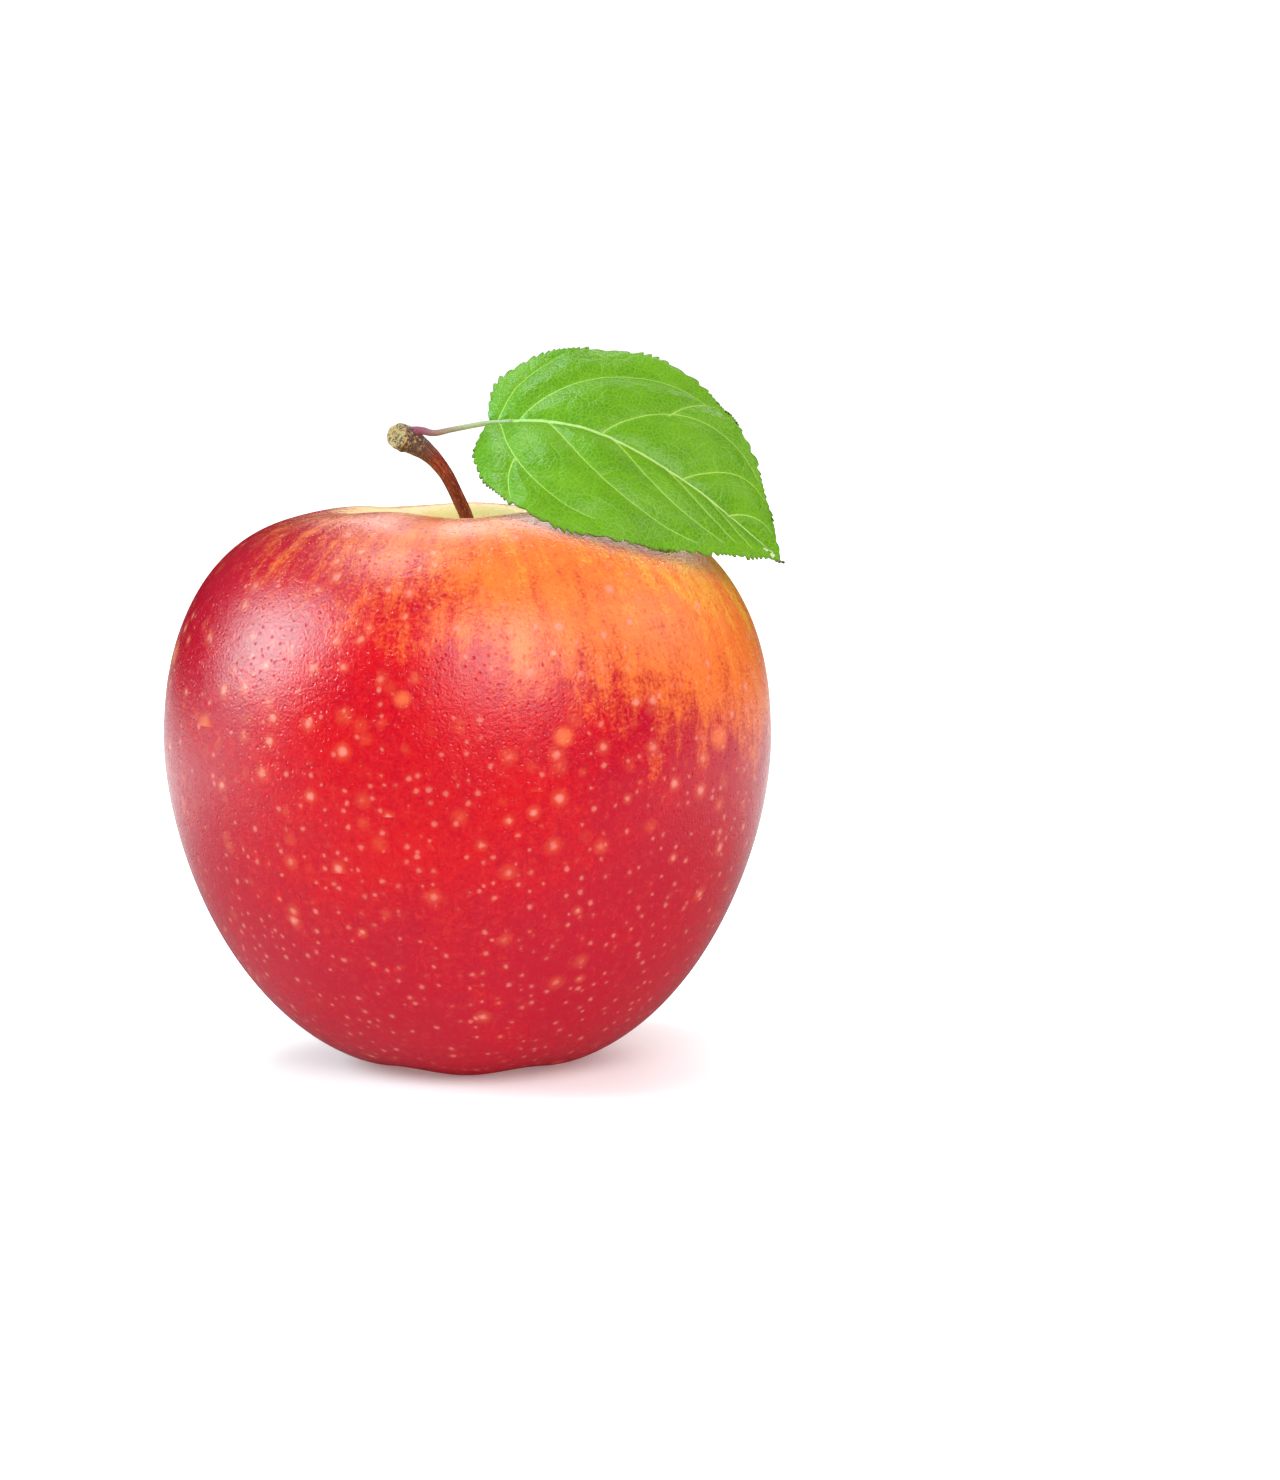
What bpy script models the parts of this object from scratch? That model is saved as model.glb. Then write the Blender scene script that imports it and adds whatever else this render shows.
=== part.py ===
"""A fresh dessert apple with its stem and one leaf, resting on the lobes round its calyx.

+Z is up along the core, -Y faces the viewer, and the origin is on the table under the core.
Lengths are given in millimetres and become metres in the meshes.
"""

import math

import bmesh
import bpy
from mathutils import Vector

MM = 0.001

# Fruit: the outline that is turned about the core, from shoulder to foot
WIDEST_RADIUS = 40.0
WIDEST_HEIGHT = 43.4
SHOULDER_RADIUS = 15.5
SHOULDER_HEIGHT = 73.2
FOOT_RADIUS = 10.5
UPPER_ROUNDNESS = 2.3  # superellipse exponents: 2 is an ellipse, more is squarer
LOWER_ROUNDNESS = 1.79
OUTLINE_STEPS = 9  # points on each quarter of the outline
TURN_STEPS = 60

# Fruit: the two hollows
CAVITY_DEPTH = 13.0
PIT_RADIUS = 1.5  # the stem stands in this pit
PIT_DEPTH = 2.0
BASIN_DEPTH = 8.0
TUBE_RADIUS = 3.0  # calyx tube, above the basin
TUBE_DEPTH = 5.0
HOLLOW_STEPS = 6

# Fruit: the five lobes of its carpels
LOBES = 5
LOBE_TURN = math.radians(-90)  # one lobe and its foot face the viewer
BODY_LOBE = 0.3
LOW_LOBE = 0.35
LOW_LOBE_HEIGHT = 8.0
LOW_LOBE_SPREAD = 14.0
RIM_LOBE = 0.3  # the shoulder's humps stand between the feet
RIM_SPREAD = 8.0
FOOT_VALLEY = 0.35
FOOT_DIP = 0.2  # how far the lobes reach below the table before they are cut flat
FOOT_SPREAD = 7.0

# Stem: points along its middle, each with its radius
STEM_POINTS = (
    ((0.0, 0.0, SHOULDER_HEIGHT - CAVITY_DEPTH - PIT_DEPTH + 0.5), 1.0),
    ((0.4, 0.0, 61.0), 0.95),
    ((0.8, -0.2, 65.0), 0.9),
    ((0.5, -0.6, 69.0), 0.9),
    ((-0.2, -1.2, 72.3), 0.9),
    ((-1.4, -2.2, 75.2), 0.9),
    ((-2.6, -3.1, 77.7), 0.95),
    ((-3.9, -3.9, 79.6), 1.05),
    ((-5.2, -4.6, 80.9), 1.25),
    ((-6.8, -5.3, 82.1), 1.6),
    ((-8.2, -5.8, 82.8), 1.9),
    ((-9.3, -6.1, 83.2), 1.7),
    ((-9.8, -6.2, 83.4), 1.2),
)

# Leaf: its stalk, and the three curves that carry its blade from stalk to tip
STALK_POINTS = (
    ((-5.6, -6.5, 83.9), 0.55),
    ((-4.2, -6.4, 83.5), 0.5),
    ((-2.0, -6.2, 83.8), 0.45),
    ((0.6, -6.1, 84.3), 0.45),
    ((3.0, -6.2, 84.8), 0.5),
)
LEAF_BASE = (3.0, -6.0, 84.9)
LEAF_TIP = (40.9, -8.0, 66.9)
MIDRIB = (LEAF_BASE, (11.0, -10.5, 85.5), (17.0, -12.5, 86.0), (27.0, -17.0, 80.0), LEAF_TIP)
UPPER_EDGE = (LEAF_BASE, (0.5, 2.5, 97.0), (22.0, 1.0, 93.5), (34.5, 0.5, 100.5), LEAF_TIP)
LOWER_EDGE = (LEAF_BASE, (-5.5, -14.5, 75.0), (15.5, -40.0, 70.0), (25.0, -17.5, 68.5), LEAF_TIP)
BLADE_THICKNESS = 0.5
BLADE_BULGE = 0.7
BLADE_LENGTH_STEPS = 22
BLADE_WIDTH_STEPS = 12
MIDRIB_REACH = 0.35  # share of the blade that the stalk runs on under, before it thins away

# Calyx: dried remains of the flower, inside the basin
SEPALS = 5
SEPAL_THICKNESS = 0.4
SEPAL_WIDTH = 2.1
SEPAL_PATH = ((2.3, 10.4), (2.4, 7.6), (2.9, 5.4), (4.2, 3.6), (5.6, 3.2))  # radius, height
STAMENS = 10
STAMEN_RADIUS = 0.18
STAMEN_PATH = ((1.45, 11.8), (1.5, 9.0), (1.3, 6.4), (1.6, 4.6))
STYLE_RADIUS = 0.45
STYLE_PATH = ((0.0, 12.2), (0.05, 9.4), (-0.1, 7.2), (0.15, 5.2))


def clear_scene():
    for obj in list(bpy.data.objects):
        bpy.data.objects.remove(obj, do_unlink=True)


def new_collection(name):
    collection = bpy.data.collections.new(name)
    bpy.context.scene.collection.children.link(collection)
    return collection


def add_object(name, data, collection):
    obj = bpy.data.objects.new(name, data)
    collection.objects.link(obj)
    return obj


def give_material(obj, colour, roughness):
    material = bpy.data.materials.new(obj.name)
    material.use_nodes = True
    shader = material.node_tree.nodes["Principled BSDF"]
    shader.inputs["Base Color"].default_value = (*colour, 1.0)
    shader.inputs["Roughness"].default_value = roughness
    shader.inputs["Metallic"].default_value = 0.0
    obj.data.materials.clear()
    obj.data.materials.append(material)


def as_mesh(obj):
    """Replaces a curve, or an object with modifiers, by the mesh it evaluates to."""
    graph = bpy.context.evaluated_depsgraph_get()
    mesh = bpy.data.meshes.new_from_object(obj.evaluated_get(graph))
    bm = bmesh.new()
    bm.from_mesh(mesh)
    bmesh.ops.remove_doubles(bm, verts=bm.verts, dist=0.01 * MM)
    bm.to_mesh(mesh)
    bm.free()
    solid = bpy.data.objects.new(obj.name, mesh)
    solid.matrix_world = obj.matrix_world
    name, collection = obj.name, obj.users_collection[0]
    bpy.data.objects.remove(obj, do_unlink=True)
    solid.name = name
    collection.objects.link(solid)
    return solid


def shade_smooth(obj):
    obj.data.shade_smooth()
    obj.data.set_sharp_from_angle(angle=math.radians(40))


def bezier(points, share):
    """A point on the Bezier curve of any degree through its first and last points."""
    level = [Vector(point) for point in points]
    while len(level) > 1:
        level = [a.lerp(b, share) for a, b in zip(level, level[1:])]
    return level[0]


def smooth_path(points, steps):
    """Points of a Catmull-Rom curve through the given ones, which may have any number of values."""
    ends = [points[0], *points, points[-1]]
    path = []
    for before, start, end, after in zip(ends, ends[1:], ends[2:], ends[3:]):
        for step in range(steps):
            t = step / steps
            path.append([
                b + 0.5 * t * (c - a + t * (2 * a - 5 * b + 4 * c - d + t * (3 * (b - c) + d - a)))
                for a, b, c, d in zip(before, start, end, after)
            ])
    path.append(list(points[-1]))
    return path


def add_tube(name, places, radii, collection, resolution):
    """A round tube through the places, closed at both ends."""
    curve = bpy.data.curves.new(name, "CURVE")
    curve.dimensions = "3D"
    curve.bevel_depth = MM
    curve.bevel_resolution = resolution
    curve.use_fill_caps = True
    spline = curve.splines.new("POLY")
    spline.points.add(len(places) - 1)
    for point, place, radius in zip(spline.points, places, radii):
        point.co = (*(MM * value for value in place), 1.0)
        point.radius = radius
    return add_object(name, curve, collection)


def quarter_outline(inner_radius, end_height, roundness):
    """Radius and height from the widest ring to the end of the upper or lower half."""
    outline = []
    for step in range(OUTLINE_STEPS + 1):
        angle = 0.5 * math.pi * step / OUTLINE_STEPS
        across = math.cos(angle) ** (2 / roundness) if step < OUTLINE_STEPS else 0.0
        along = math.sin(angle) ** (2 / roundness)
        radius = inner_radius + (WIDEST_RADIUS - inner_radius) * across
        height = WIDEST_HEIGHT + (end_height - WIDEST_HEIGHT) * along
        outline.append((radius, height))
    return outline


def hollow_outline(rim_radius, rim_height, floor_radius, rise):
    """Radius and height from just inside a hollow's rim to its funnel-shaped floor."""
    outline = []
    for step in range(1, HOLLOW_STEPS + 1):
        share = step / HOLLOW_STEPS
        radius = rim_radius + (floor_radius - rim_radius) * share
        outline.append((radius, rim_height + rise * share**2 * (1.55 - 0.55 * share)))
    return outline


def fruit_outline():
    """The whole outline, from the middle of the stem pit round to the end of the calyx tube."""
    cavity_floor = SHOULDER_HEIGHT - CAVITY_DEPTH
    pit_floor = cavity_floor - PIT_DEPTH
    cavity = hollow_outline(SHOULDER_RADIUS, SHOULDER_HEIGHT, PIT_RADIUS, -CAVITY_DEPTH)
    upper = quarter_outline(SHOULDER_RADIUS, SHOULDER_HEIGHT, UPPER_ROUNDNESS)
    lower = quarter_outline(FOOT_RADIUS, 0.0, LOWER_ROUNDNESS)
    basin = hollow_outline(FOOT_RADIUS, 0.0, TUBE_RADIUS, BASIN_DEPTH)
    tube_end = BASIN_DEPTH + TUBE_DEPTH
    return [
        (0.0, pit_floor),
        (PIT_RADIUS, pit_floor),
        *reversed(cavity),
        *reversed(upper),
        *lower[1:],
        *basin,
        (0.9 * TUBE_RADIUS, tube_end),
        (0.0, tube_end),
    ]


def bell(distance, spread):
    return math.exp(-((distance / spread) ** 2))


def lobed(place):
    """Moves a point of the turned fruit out on a lobe, or in and up in the valley between two."""
    radius = math.hypot(place.x, place.y)
    azimuth = math.atan2(place.y, place.x)
    wave = math.cos(LOBES * (azimuth - LOBE_TURN))
    outside = min(1.0, max(0.0, (radius - TUBE_RADIUS) / TUBE_RADIUS))
    low = LOW_LOBE * bell(place.z - LOW_LOBE_HEIGHT, LOW_LOBE_SPREAD)
    wider = wave * (BODY_LOBE + low) * min(1.0, radius / WIDEST_RADIUS)
    higher = 0.0
    if place.z > WIDEST_HEIGHT:
        higher = -RIM_LOBE * wave * bell(radius - SHOULDER_RADIUS, RIM_SPREAD)
    else:
        foot = bell(math.hypot(radius - FOOT_RADIUS, place.z), FOOT_SPREAD)
        higher = foot * (FOOT_VALLEY * (1 - wave) - FOOT_DIP * (1 + wave)) / 2
    reach = 1.0 + outside * wider / max(radius, 1.0)
    return Vector((place.x * reach, place.y * reach, place.z + outside * higher))


def cut_feet(bm):
    """Cuts the lobes' tips off at the table, so each leaves a small flat spot."""
    everything = [*bm.verts, *bm.edges, *bm.faces]
    bmesh.ops.bisect_plane(
        bm, geom=everything, dist=0.001 * MM, plane_co=(0, 0, 0), plane_no=(0, 0, -1), clear_outer=True
    )
    rims = [edge for edge in bm.edges if edge.is_boundary]
    bmesh.ops.holes_fill(bm, edges=rims, sides=0)


def make_fruit(collection):
    outline = bpy.data.meshes.new("fruit")
    points = [(MM * radius, 0.0, MM * height) for radius, height in fruit_outline()]
    edges = [(i, i + 1) for i in range(len(points) - 1)]
    outline.from_pydata(points, edges, [])
    fruit = add_object("fruit", outline, collection)
    turn = fruit.modifiers.new("turned", "SCREW")
    turn.axis = "Z"
    turn.steps = TURN_STEPS
    turn.render_steps = TURN_STEPS
    turn.use_merge_vertices = True
    turn.merge_threshold = 0.01 * MM
    fruit = as_mesh(fruit)
    bm = bmesh.new()
    bm.from_mesh(fruit.data)
    for vertex in bm.verts:
        vertex.co = MM * lobed(vertex.co / MM)
    cut_feet(bm)
    bmesh.ops.recalc_face_normals(bm, faces=bm.faces)
    bm.to_mesh(fruit.data)
    bm.free()
    shade_smooth(fruit)
    give_material(fruit, (0.55, 0.01, 0.02), 0.3)


def tube_along(name, points, steps, collection, resolution):
    """A tube along a smooth curve through points that each have a place and a radius."""
    path = smooth_path([(*place, radius) for place, radius in points], steps)
    return add_tube(name, [p[:3] for p in path], [p[3] for p in path], collection, resolution)


def make_stem(collection):
    stem = as_mesh(tube_along("stem", STEM_POINTS, 2, collection, 4))
    shade_smooth(stem)
    give_material(stem, (0.2, 0.05, 0.02), 0.6)


def blade_point(along, across):
    """A point of the blade: along runs 0 to 1 from stalk to tip, across -1 to 1 from lower to upper edge."""
    middle = bezier(MIDRIB, along)
    upper = bezier(UPPER_EDGE, along)
    lower = bezier(LOWER_EDGE, along)
    edge = upper if across > 0 else lower
    ahead = bezier(MIDRIB, min(1.0, along + 0.01)) - bezier(MIDRIB, max(0.0, along - 0.01))
    outward = ahead.cross(upper - lower)
    outward.normalize()
    width = min(1.0, (upper - lower).length / 20)
    bulge = BLADE_BULGE * width * math.sin(math.pi * abs(across))
    return middle.lerp(edge, abs(across)) + bulge * outward


def make_blade(collection):
    bm = bmesh.new()
    bmesh.ops.create_grid(bm, x_segments=BLADE_LENGTH_STEPS, y_segments=BLADE_WIDTH_STEPS, size=1.0)
    for vertex in bm.verts:
        vertex.co = MM * blade_point((vertex.co.x + 1) / 2, vertex.co.y)
    bmesh.ops.remove_doubles(bm, verts=bm.verts, dist=0.02 * MM)
    mesh = bpy.data.meshes.new("leaf")
    bm.to_mesh(mesh)
    bm.free()
    blade = add_object("leaf", mesh, collection)
    wall = blade.modifiers.new("blade_thickness", "SOLIDIFY")
    wall.thickness = BLADE_THICKNESS * MM
    wall.offset = 0.0
    return as_mesh(blade)


def make_leaf(collection, helpers):
    blade = make_blade(collection)
    vein = []
    for step in range(1, 5):
        share = step / 4
        middle = bezier(MIDRIB, MIDRIB_REACH * share)
        vein.append((tuple(middle), 0.5 - 0.2 * share))
    stalk = as_mesh(tube_along("leaf_stalk", [*STALK_POINTS, *vein], 2, helpers, 4))
    stalk.hide_render = True
    stalk.display_type = "WIRE"
    union = blade.modifiers.new("stalk_grown_on", "BOOLEAN")
    union.operation = "UNION"
    union.solver = "EXACT"
    union.object = stalk
    shade_smooth(blade)
    give_material(blade, (0.13, 0.35, 0.02), 0.45)


def around(path, azimuth):
    """Places on a path of radius and height that stands out from the core at this azimuth."""
    return [(r * math.cos(azimuth), r * math.sin(azimuth), height) for r, height in path]


def make_sepal(name, azimuth, collection):
    """One dried calyx leaf: it hangs from the rim of the calyx tube and curls outwards."""
    bm = bmesh.new()
    bmesh.ops.create_grid(bm, x_segments=8, y_segments=4, size=1.0)
    path = smooth_path(SEPAL_PATH, 4)
    side = Vector((-math.sin(azimuth), math.cos(azimuth), 0.0))
    for vertex in bm.verts:
        share = (vertex.co.x + 1) / 2
        place = Vector(around([path[round(share * (len(path) - 1))]], azimuth)[0])
        half_width = 0.5 * SEPAL_WIDTH * (1.0 - 0.85 * share**1.5)
        cupped = 0.35 * vertex.co.y**2 * half_width
        inward = Vector((-math.cos(azimuth), -math.sin(azimuth), 0.0))
        vertex.co = MM * (place + half_width * vertex.co.y * side + cupped * inward)
    mesh = bpy.data.meshes.new(name)
    bm.to_mesh(mesh)
    bm.free()
    sepal = add_object(name, mesh, collection)
    wall = sepal.modifiers.new("thickness", "SOLIDIFY")
    wall.thickness = SEPAL_THICKNESS * MM
    wall.offset = 0.0
    shade_smooth(sepal)
    give_material(sepal, (0.12, 0.09, 0.05), 0.8)


def make_calyx(collection):
    for index in range(SEPALS):
        azimuth = LOBE_TURN + math.tau * (index + 0.5) / SEPALS
        make_sepal(f"sepal_{index + 1}", azimuth, collection)
    for index in range(STAMENS):
        azimuth = math.tau * (index + 0.5) / STAMENS
        places = [p[:3] for p in smooth_path(around(STAMEN_PATH, azimuth), 2)]
        stamen = as_mesh(
            add_tube(f"stamen_{index + 1:02d}", places, [STAMEN_RADIUS] * len(places), collection, 2)
        )
        give_material(stamen, (0.08, 0.05, 0.03), 0.8)
    places = [p[:3] for p in smooth_path([(x, 0.0, height) for x, height in STYLE_PATH], 2)]
    style = as_mesh(add_tube("style", places, [STYLE_RADIUS] * len(places), collection, 3))
    shade_smooth(style)
    give_material(style, (0.1, 0.07, 0.04), 0.8)


def main():
    clear_scene()
    apple = new_collection("apple")
    helpers = new_collection("helpers")
    make_fruit(apple)
    make_stem(apple)
    make_leaf(apple, helpers)
    make_calyx(apple)


main()
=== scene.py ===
"""The finished look of a fresh apple with its stem and leaf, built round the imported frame.

Sizes are in millimetres and become metres in the meshes. +Z is up along the core and -Y faces the viewer.
"""

import logging
import math
from collections.abc import Sequence
from dataclasses import dataclass
from enum import Enum

import bpy
import numpy as np
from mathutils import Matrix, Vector, noise


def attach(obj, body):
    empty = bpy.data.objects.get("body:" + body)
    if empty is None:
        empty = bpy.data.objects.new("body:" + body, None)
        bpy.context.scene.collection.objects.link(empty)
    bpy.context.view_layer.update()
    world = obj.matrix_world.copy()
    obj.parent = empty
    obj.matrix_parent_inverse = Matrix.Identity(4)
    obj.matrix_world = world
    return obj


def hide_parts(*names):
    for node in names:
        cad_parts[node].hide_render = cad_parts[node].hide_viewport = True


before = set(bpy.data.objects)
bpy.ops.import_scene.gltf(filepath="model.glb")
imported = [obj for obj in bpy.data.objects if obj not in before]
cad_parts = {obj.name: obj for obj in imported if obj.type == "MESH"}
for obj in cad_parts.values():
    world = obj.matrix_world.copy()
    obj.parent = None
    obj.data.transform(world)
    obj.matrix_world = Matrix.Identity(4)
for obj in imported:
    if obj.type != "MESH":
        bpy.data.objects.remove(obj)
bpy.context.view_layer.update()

MM = 0.001
BODY = "root"
WELD = 0.001 * MM
WHITE = (1.0, 1.0, 1.0, 1.0)
log = logging.getLogger("apple")

Colour = tuple[float, float, float]
Place = tuple[float, float, float]
Ring = tuple[float, float]  # a radius and a height
Span = tuple[float, float]  # where something starts and where it ends
Ramp = tuple[float, float, float, float]  # a span, and the results at its start and at its end


class Facing(Enum):
    """The two faces of the leaf's blade, with the material slot that each takes."""

    UPPER = 0
    LOWER = 1


class Ray(Enum):
    """The kinds of light ray that the studio tells apart, with the socket that reports each."""

    CAMERA = "Is Camera Ray"
    GLOSSY = "Is Glossy Ray"


# ---------------------------------------------------------------------------------------------- tools


def deselect_all() -> None:
    """Leaves nothing selected, so that an operator acts on the new piece alone."""
    if bpy.context.object and bpy.context.object.mode != "OBJECT":
        bpy.ops.object.mode_set(mode="OBJECT")
    bpy.ops.object.select_all(action="DESELECT")


def finish_object(piece: bpy.types.Object, name: str) -> None:
    """Names a piece, moves its place into its mesh and shades it smooth.

    Args:
        piece: the mesh object.
        name: the piece's name.
    """
    deselect_all()
    piece.select_set(True)
    bpy.context.view_layer.objects.active = piece
    bpy.ops.object.transform_apply(location=True, rotation=True, scale=True)
    bpy.ops.object.shade_smooth()
    piece.name = name
    piece.data.name = name


def smoothed(piece: bpy.types.Object, levels: int) -> None:
    """Applies a Subdivision Surface modifier.

    Args:
        piece: the active mesh object.
        levels: how many times its faces are split.
    """
    bpy.ops.object.modifier_add(type="SUBSURF")
    modifier = piece.modifiers[-1]
    modifier.levels = levels
    modifier.render_levels = levels
    bpy.ops.object.modifier_apply(modifier=modifier.name)


def thickened(piece: bpy.types.Object, thickness: float, lower_slot: int = 0) -> None:
    """Applies a Solidify modifier that grows a wall below the active open surface.

    Args:
        piece: the active mesh object.
        thickness: the wall's thickness in millimetres.
        lower_slot: how many material slots further on the lower face's material is.
    """
    bpy.ops.object.modifier_add(type="SOLIDIFY")
    modifier = piece.modifiers[-1]
    modifier.thickness = thickness * MM
    modifier.offset = -1.0
    modifier.material_offset = lower_slot
    bpy.ops.object.modifier_apply(modifier=modifier.name)


def close_up() -> None:
    """Merges the active mesh's doubled points and turns its faces outwards."""
    bpy.ops.object.mode_set(mode="EDIT")
    bpy.ops.mesh.select_all(action="SELECT")
    bpy.ops.mesh.remove_doubles(threshold=WELD)
    bpy.ops.mesh.normals_make_consistent(inside=False)
    bpy.ops.object.mode_set(mode="OBJECT")


def points_of(piece: bpy.types.Object) -> np.ndarray:
    """Reads a mesh's points.

    Args:
        piece: the mesh object.

    Returns:
        One row for each point, in millimetres.
    """
    flat = np.empty(len(piece.data.vertices) * 3)
    piece.data.vertices.foreach_get("co", flat)
    return flat.reshape(-1, 3) / MM


def set_points(piece: bpy.types.Object, points: np.ndarray) -> None:
    """Moves the mesh's points to these places, given in millimetres."""
    piece.data.vertices.foreach_set("co", (points * MM).astype(np.float32).ravel())
    piece.data.update()


def normals_of(piece: bpy.types.Object) -> np.ndarray:
    """Reads a mesh's point normals.

    Args:
        piece: the mesh object.

    Returns:
        One row for each point.
    """
    flat = np.empty(len(piece.data.vertices) * 3)
    piece.data.vertex_normals.foreach_get("vector", flat)
    return flat.reshape(-1, 3)


def keep_number(piece: bpy.types.Object, name: str, values: np.ndarray) -> None:
    """Stores one number for each point of the mesh, for a material to read."""
    piece.data.attributes.new(name, "FLOAT", "POINT")
    piece.data.attributes[name].data.foreach_set("value", values.astype(np.float32).ravel())


def keep_vector(piece: bpy.types.Object, name: str, values: np.ndarray) -> None:
    """Stores one vector for each point of the mesh, for a material to read."""
    piece.data.attributes.new(name, "FLOAT_VECTOR", "POINT")
    piece.data.attributes[name].data.foreach_set("vector", values.astype(np.float32).ravel())


def bell(distance: np.ndarray, spread: float) -> np.ndarray:
    """A smooth hump: 1 at no distance, and almost 0 past twice the spread."""
    return np.exp(-((distance / spread) ** 2))


def ease(values: np.ndarray, low: float, high: float) -> np.ndarray:
    """0 below low, 1 above high and a smooth step between."""
    share = np.clip((values - low) / (high - low), 0.0, 1.0)
    return share * share * (3.0 - 2.0 * share)


def unit(vectors: np.ndarray) -> np.ndarray:
    """One vector or rows of vectors, each brought to a length of 1."""
    return vectors / np.linalg.norm(vectors, axis=-1, keepdims=True)


def run_along(line: np.ndarray) -> np.ndarray:
    """The length along a line of points, from 0 at its first point."""
    return np.concatenate([[0.0], np.cumsum(np.linalg.norm(np.diff(line, axis=0), axis=1))])


def rough_field(points: np.ndarray, size: float, seed: float) -> np.ndarray:
    """Smooth noise from about -1 to 1, the same each run.

    Args:
        points: places in millimetres.
        size: the width of one lump in millimetres.
        seed: an offset that picks another pattern.

    Returns:
        One value for each place.
    """
    offset = Vector((seed, 2.3 * seed, -1.7 * seed))
    return np.array([noise.noise(Vector(point) / size + offset) for point in points])


def bezier(points: Sequence[Place | Span], shares: np.ndarray) -> np.ndarray:
    """Points on the Bezier curve of any degree through its first and last points.

    Args:
        points: the curve's control points.
        shares: how far along, from 0 to 1.

    Returns:
        One row for each share.
    """
    step = shares[:, None]
    level = [np.array(point, float) + 0.0 * step for point in points]
    while len(level) > 1:
        level = [a + (b - a) * step for a, b in zip(level, level[1:])]
    return level[0]


def tube(places: Sequence[Place], radii: Sequence[float], sides: int, steps: int) -> bpy.types.Object:
    """A round tube along a smooth curve, closed at both ends.

    Args:
        places: the curve's points in millimetres.
        radii: the tube's radius at each point, in millimetres.
        sides: the curve's bevel resolution, which sets how round the tube is.
        steps: how many stretches each span of the curve is cut into.

    Returns:
        The active mesh object.
    """
    deselect_all()
    bpy.ops.curve.primitive_bezier_curve_add(location=(0.0, 0.0, 0.0))
    curve = bpy.context.object
    curve.data.bevel_depth = MM
    curve.data.bevel_resolution = sides
    curve.data.resolution_u = steps
    curve.data.use_fill_caps = True
    spline = curve.data.splines[0]
    spline.bezier_points.add(len(places) - len(spline.bezier_points))
    for point, place, radius in zip(spline.bezier_points, places, radii):
        point.co = MM * Vector(place)
        point.radius = radius
        point.handle_left_type = "AUTO"
        point.handle_right_type = "AUTO"
    bpy.ops.object.convert(target="MESH")
    close_up()
    return bpy.context.object


# ------------------------------------------------------------------------------------------- finishes


class Value:
    """One value of a node tree, whose sums and products become nodes."""

    def __init__(self, board: "Board", socket: bpy.types.NodeSocket) -> None:
        """Keeps the board and the socket that the value comes from."""
        self.board = board
        self.socket = socket

    def __add__(self, other: object) -> "Value":
        """The sum with another value or a number."""
        return self.board.math("ADD", self, other)

    def __radd__(self, other: float) -> "Value":
        """The sum of a number and this value."""
        return self.board.math("ADD", other, self)

    def __sub__(self, other: object) -> "Value":
        """This value less another value or a number."""
        return self.board.math("SUBTRACT", self, other)

    def __rsub__(self, other: float) -> "Value":
        """A number less this value."""
        return self.board.math("SUBTRACT", other, self)

    def __mul__(self, other: object) -> "Value":
        """The product with another value or a number."""
        return self.board.math("MULTIPLY", self, other)

    def __truediv__(self, other: object) -> "Value":
        """This value divided by another value or a number."""
        return self.board.math("DIVIDE", self, other)

    def larger(self, other: object) -> "Value":
        """The larger of this value and another value or a number."""
        return self.board.math("MAXIMUM", self, other)

    def sway(self, reach: float) -> "Value":
        """Noise around 0.5, moved to swing around 0 by up to half the reach."""
        return (self - 0.5) * reach

    def stretched(self, scale: Place) -> "Value":
        """This vector multiplied by a scale along each axis."""
        return self.board.vector_math("MULTIPLY", "Vector", self, scale)

    def distance(self, place: Place) -> "Value":
        """How far this vector is from a fixed place."""
        return self.board.vector_math("DISTANCE", "Value", self, place)

    def noise(self, scale: float, detail: float, roughness: float, output: str = "Fac") -> "Value":
        """Noise read at this vector.

        Args:
            scale: how many lumps lie in one unit.
            detail: how many finer noises are laid over the first.
            roughness: how strong the finer noises are.
            output: Fac for a number around 0.5, or Color for a vector of three.

        Returns:
            The noise.
        """
        node = self.board.node("TexNoise", self)
        node.inputs["Scale"].default_value = scale
        node.inputs["Detail"].default_value = detail
        node.inputs["Roughness"].default_value = roughness
        return self.board.output(node, output)

    def warped(self, scale: float, reach: float) -> "Value":
        """This vector pushed about by noise, by up to half the reach."""
        push = self.noise(scale, 2.0, 0.5, "Color").stretched((reach, reach, reach))
        return self.board.vector_math("ADD", "Vector", self, push)

    def parts(self) -> list["Value"]:
        """The three values of this vector."""
        return [Value(self.board, socket) for socket in self.board.node("SeparateXYZ", self).outputs]

    def step(self, low: float, high: float, start: float = 0.0, end: float = 1.0) -> "Value":
        """A smooth step on this value.

        Args:
            low: where the step starts; it may be the larger of the two.
            high: where the step ends.
            start: the result at low and beyond.
            end: the result at high and beyond.

        Returns:
            The step's result.
        """
        node = self.board.node("MapRange", self, low, high, start, end)
        node.interpolation_type = "SMOOTHSTEP"
        return self.board.output(node, "Result")


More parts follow.
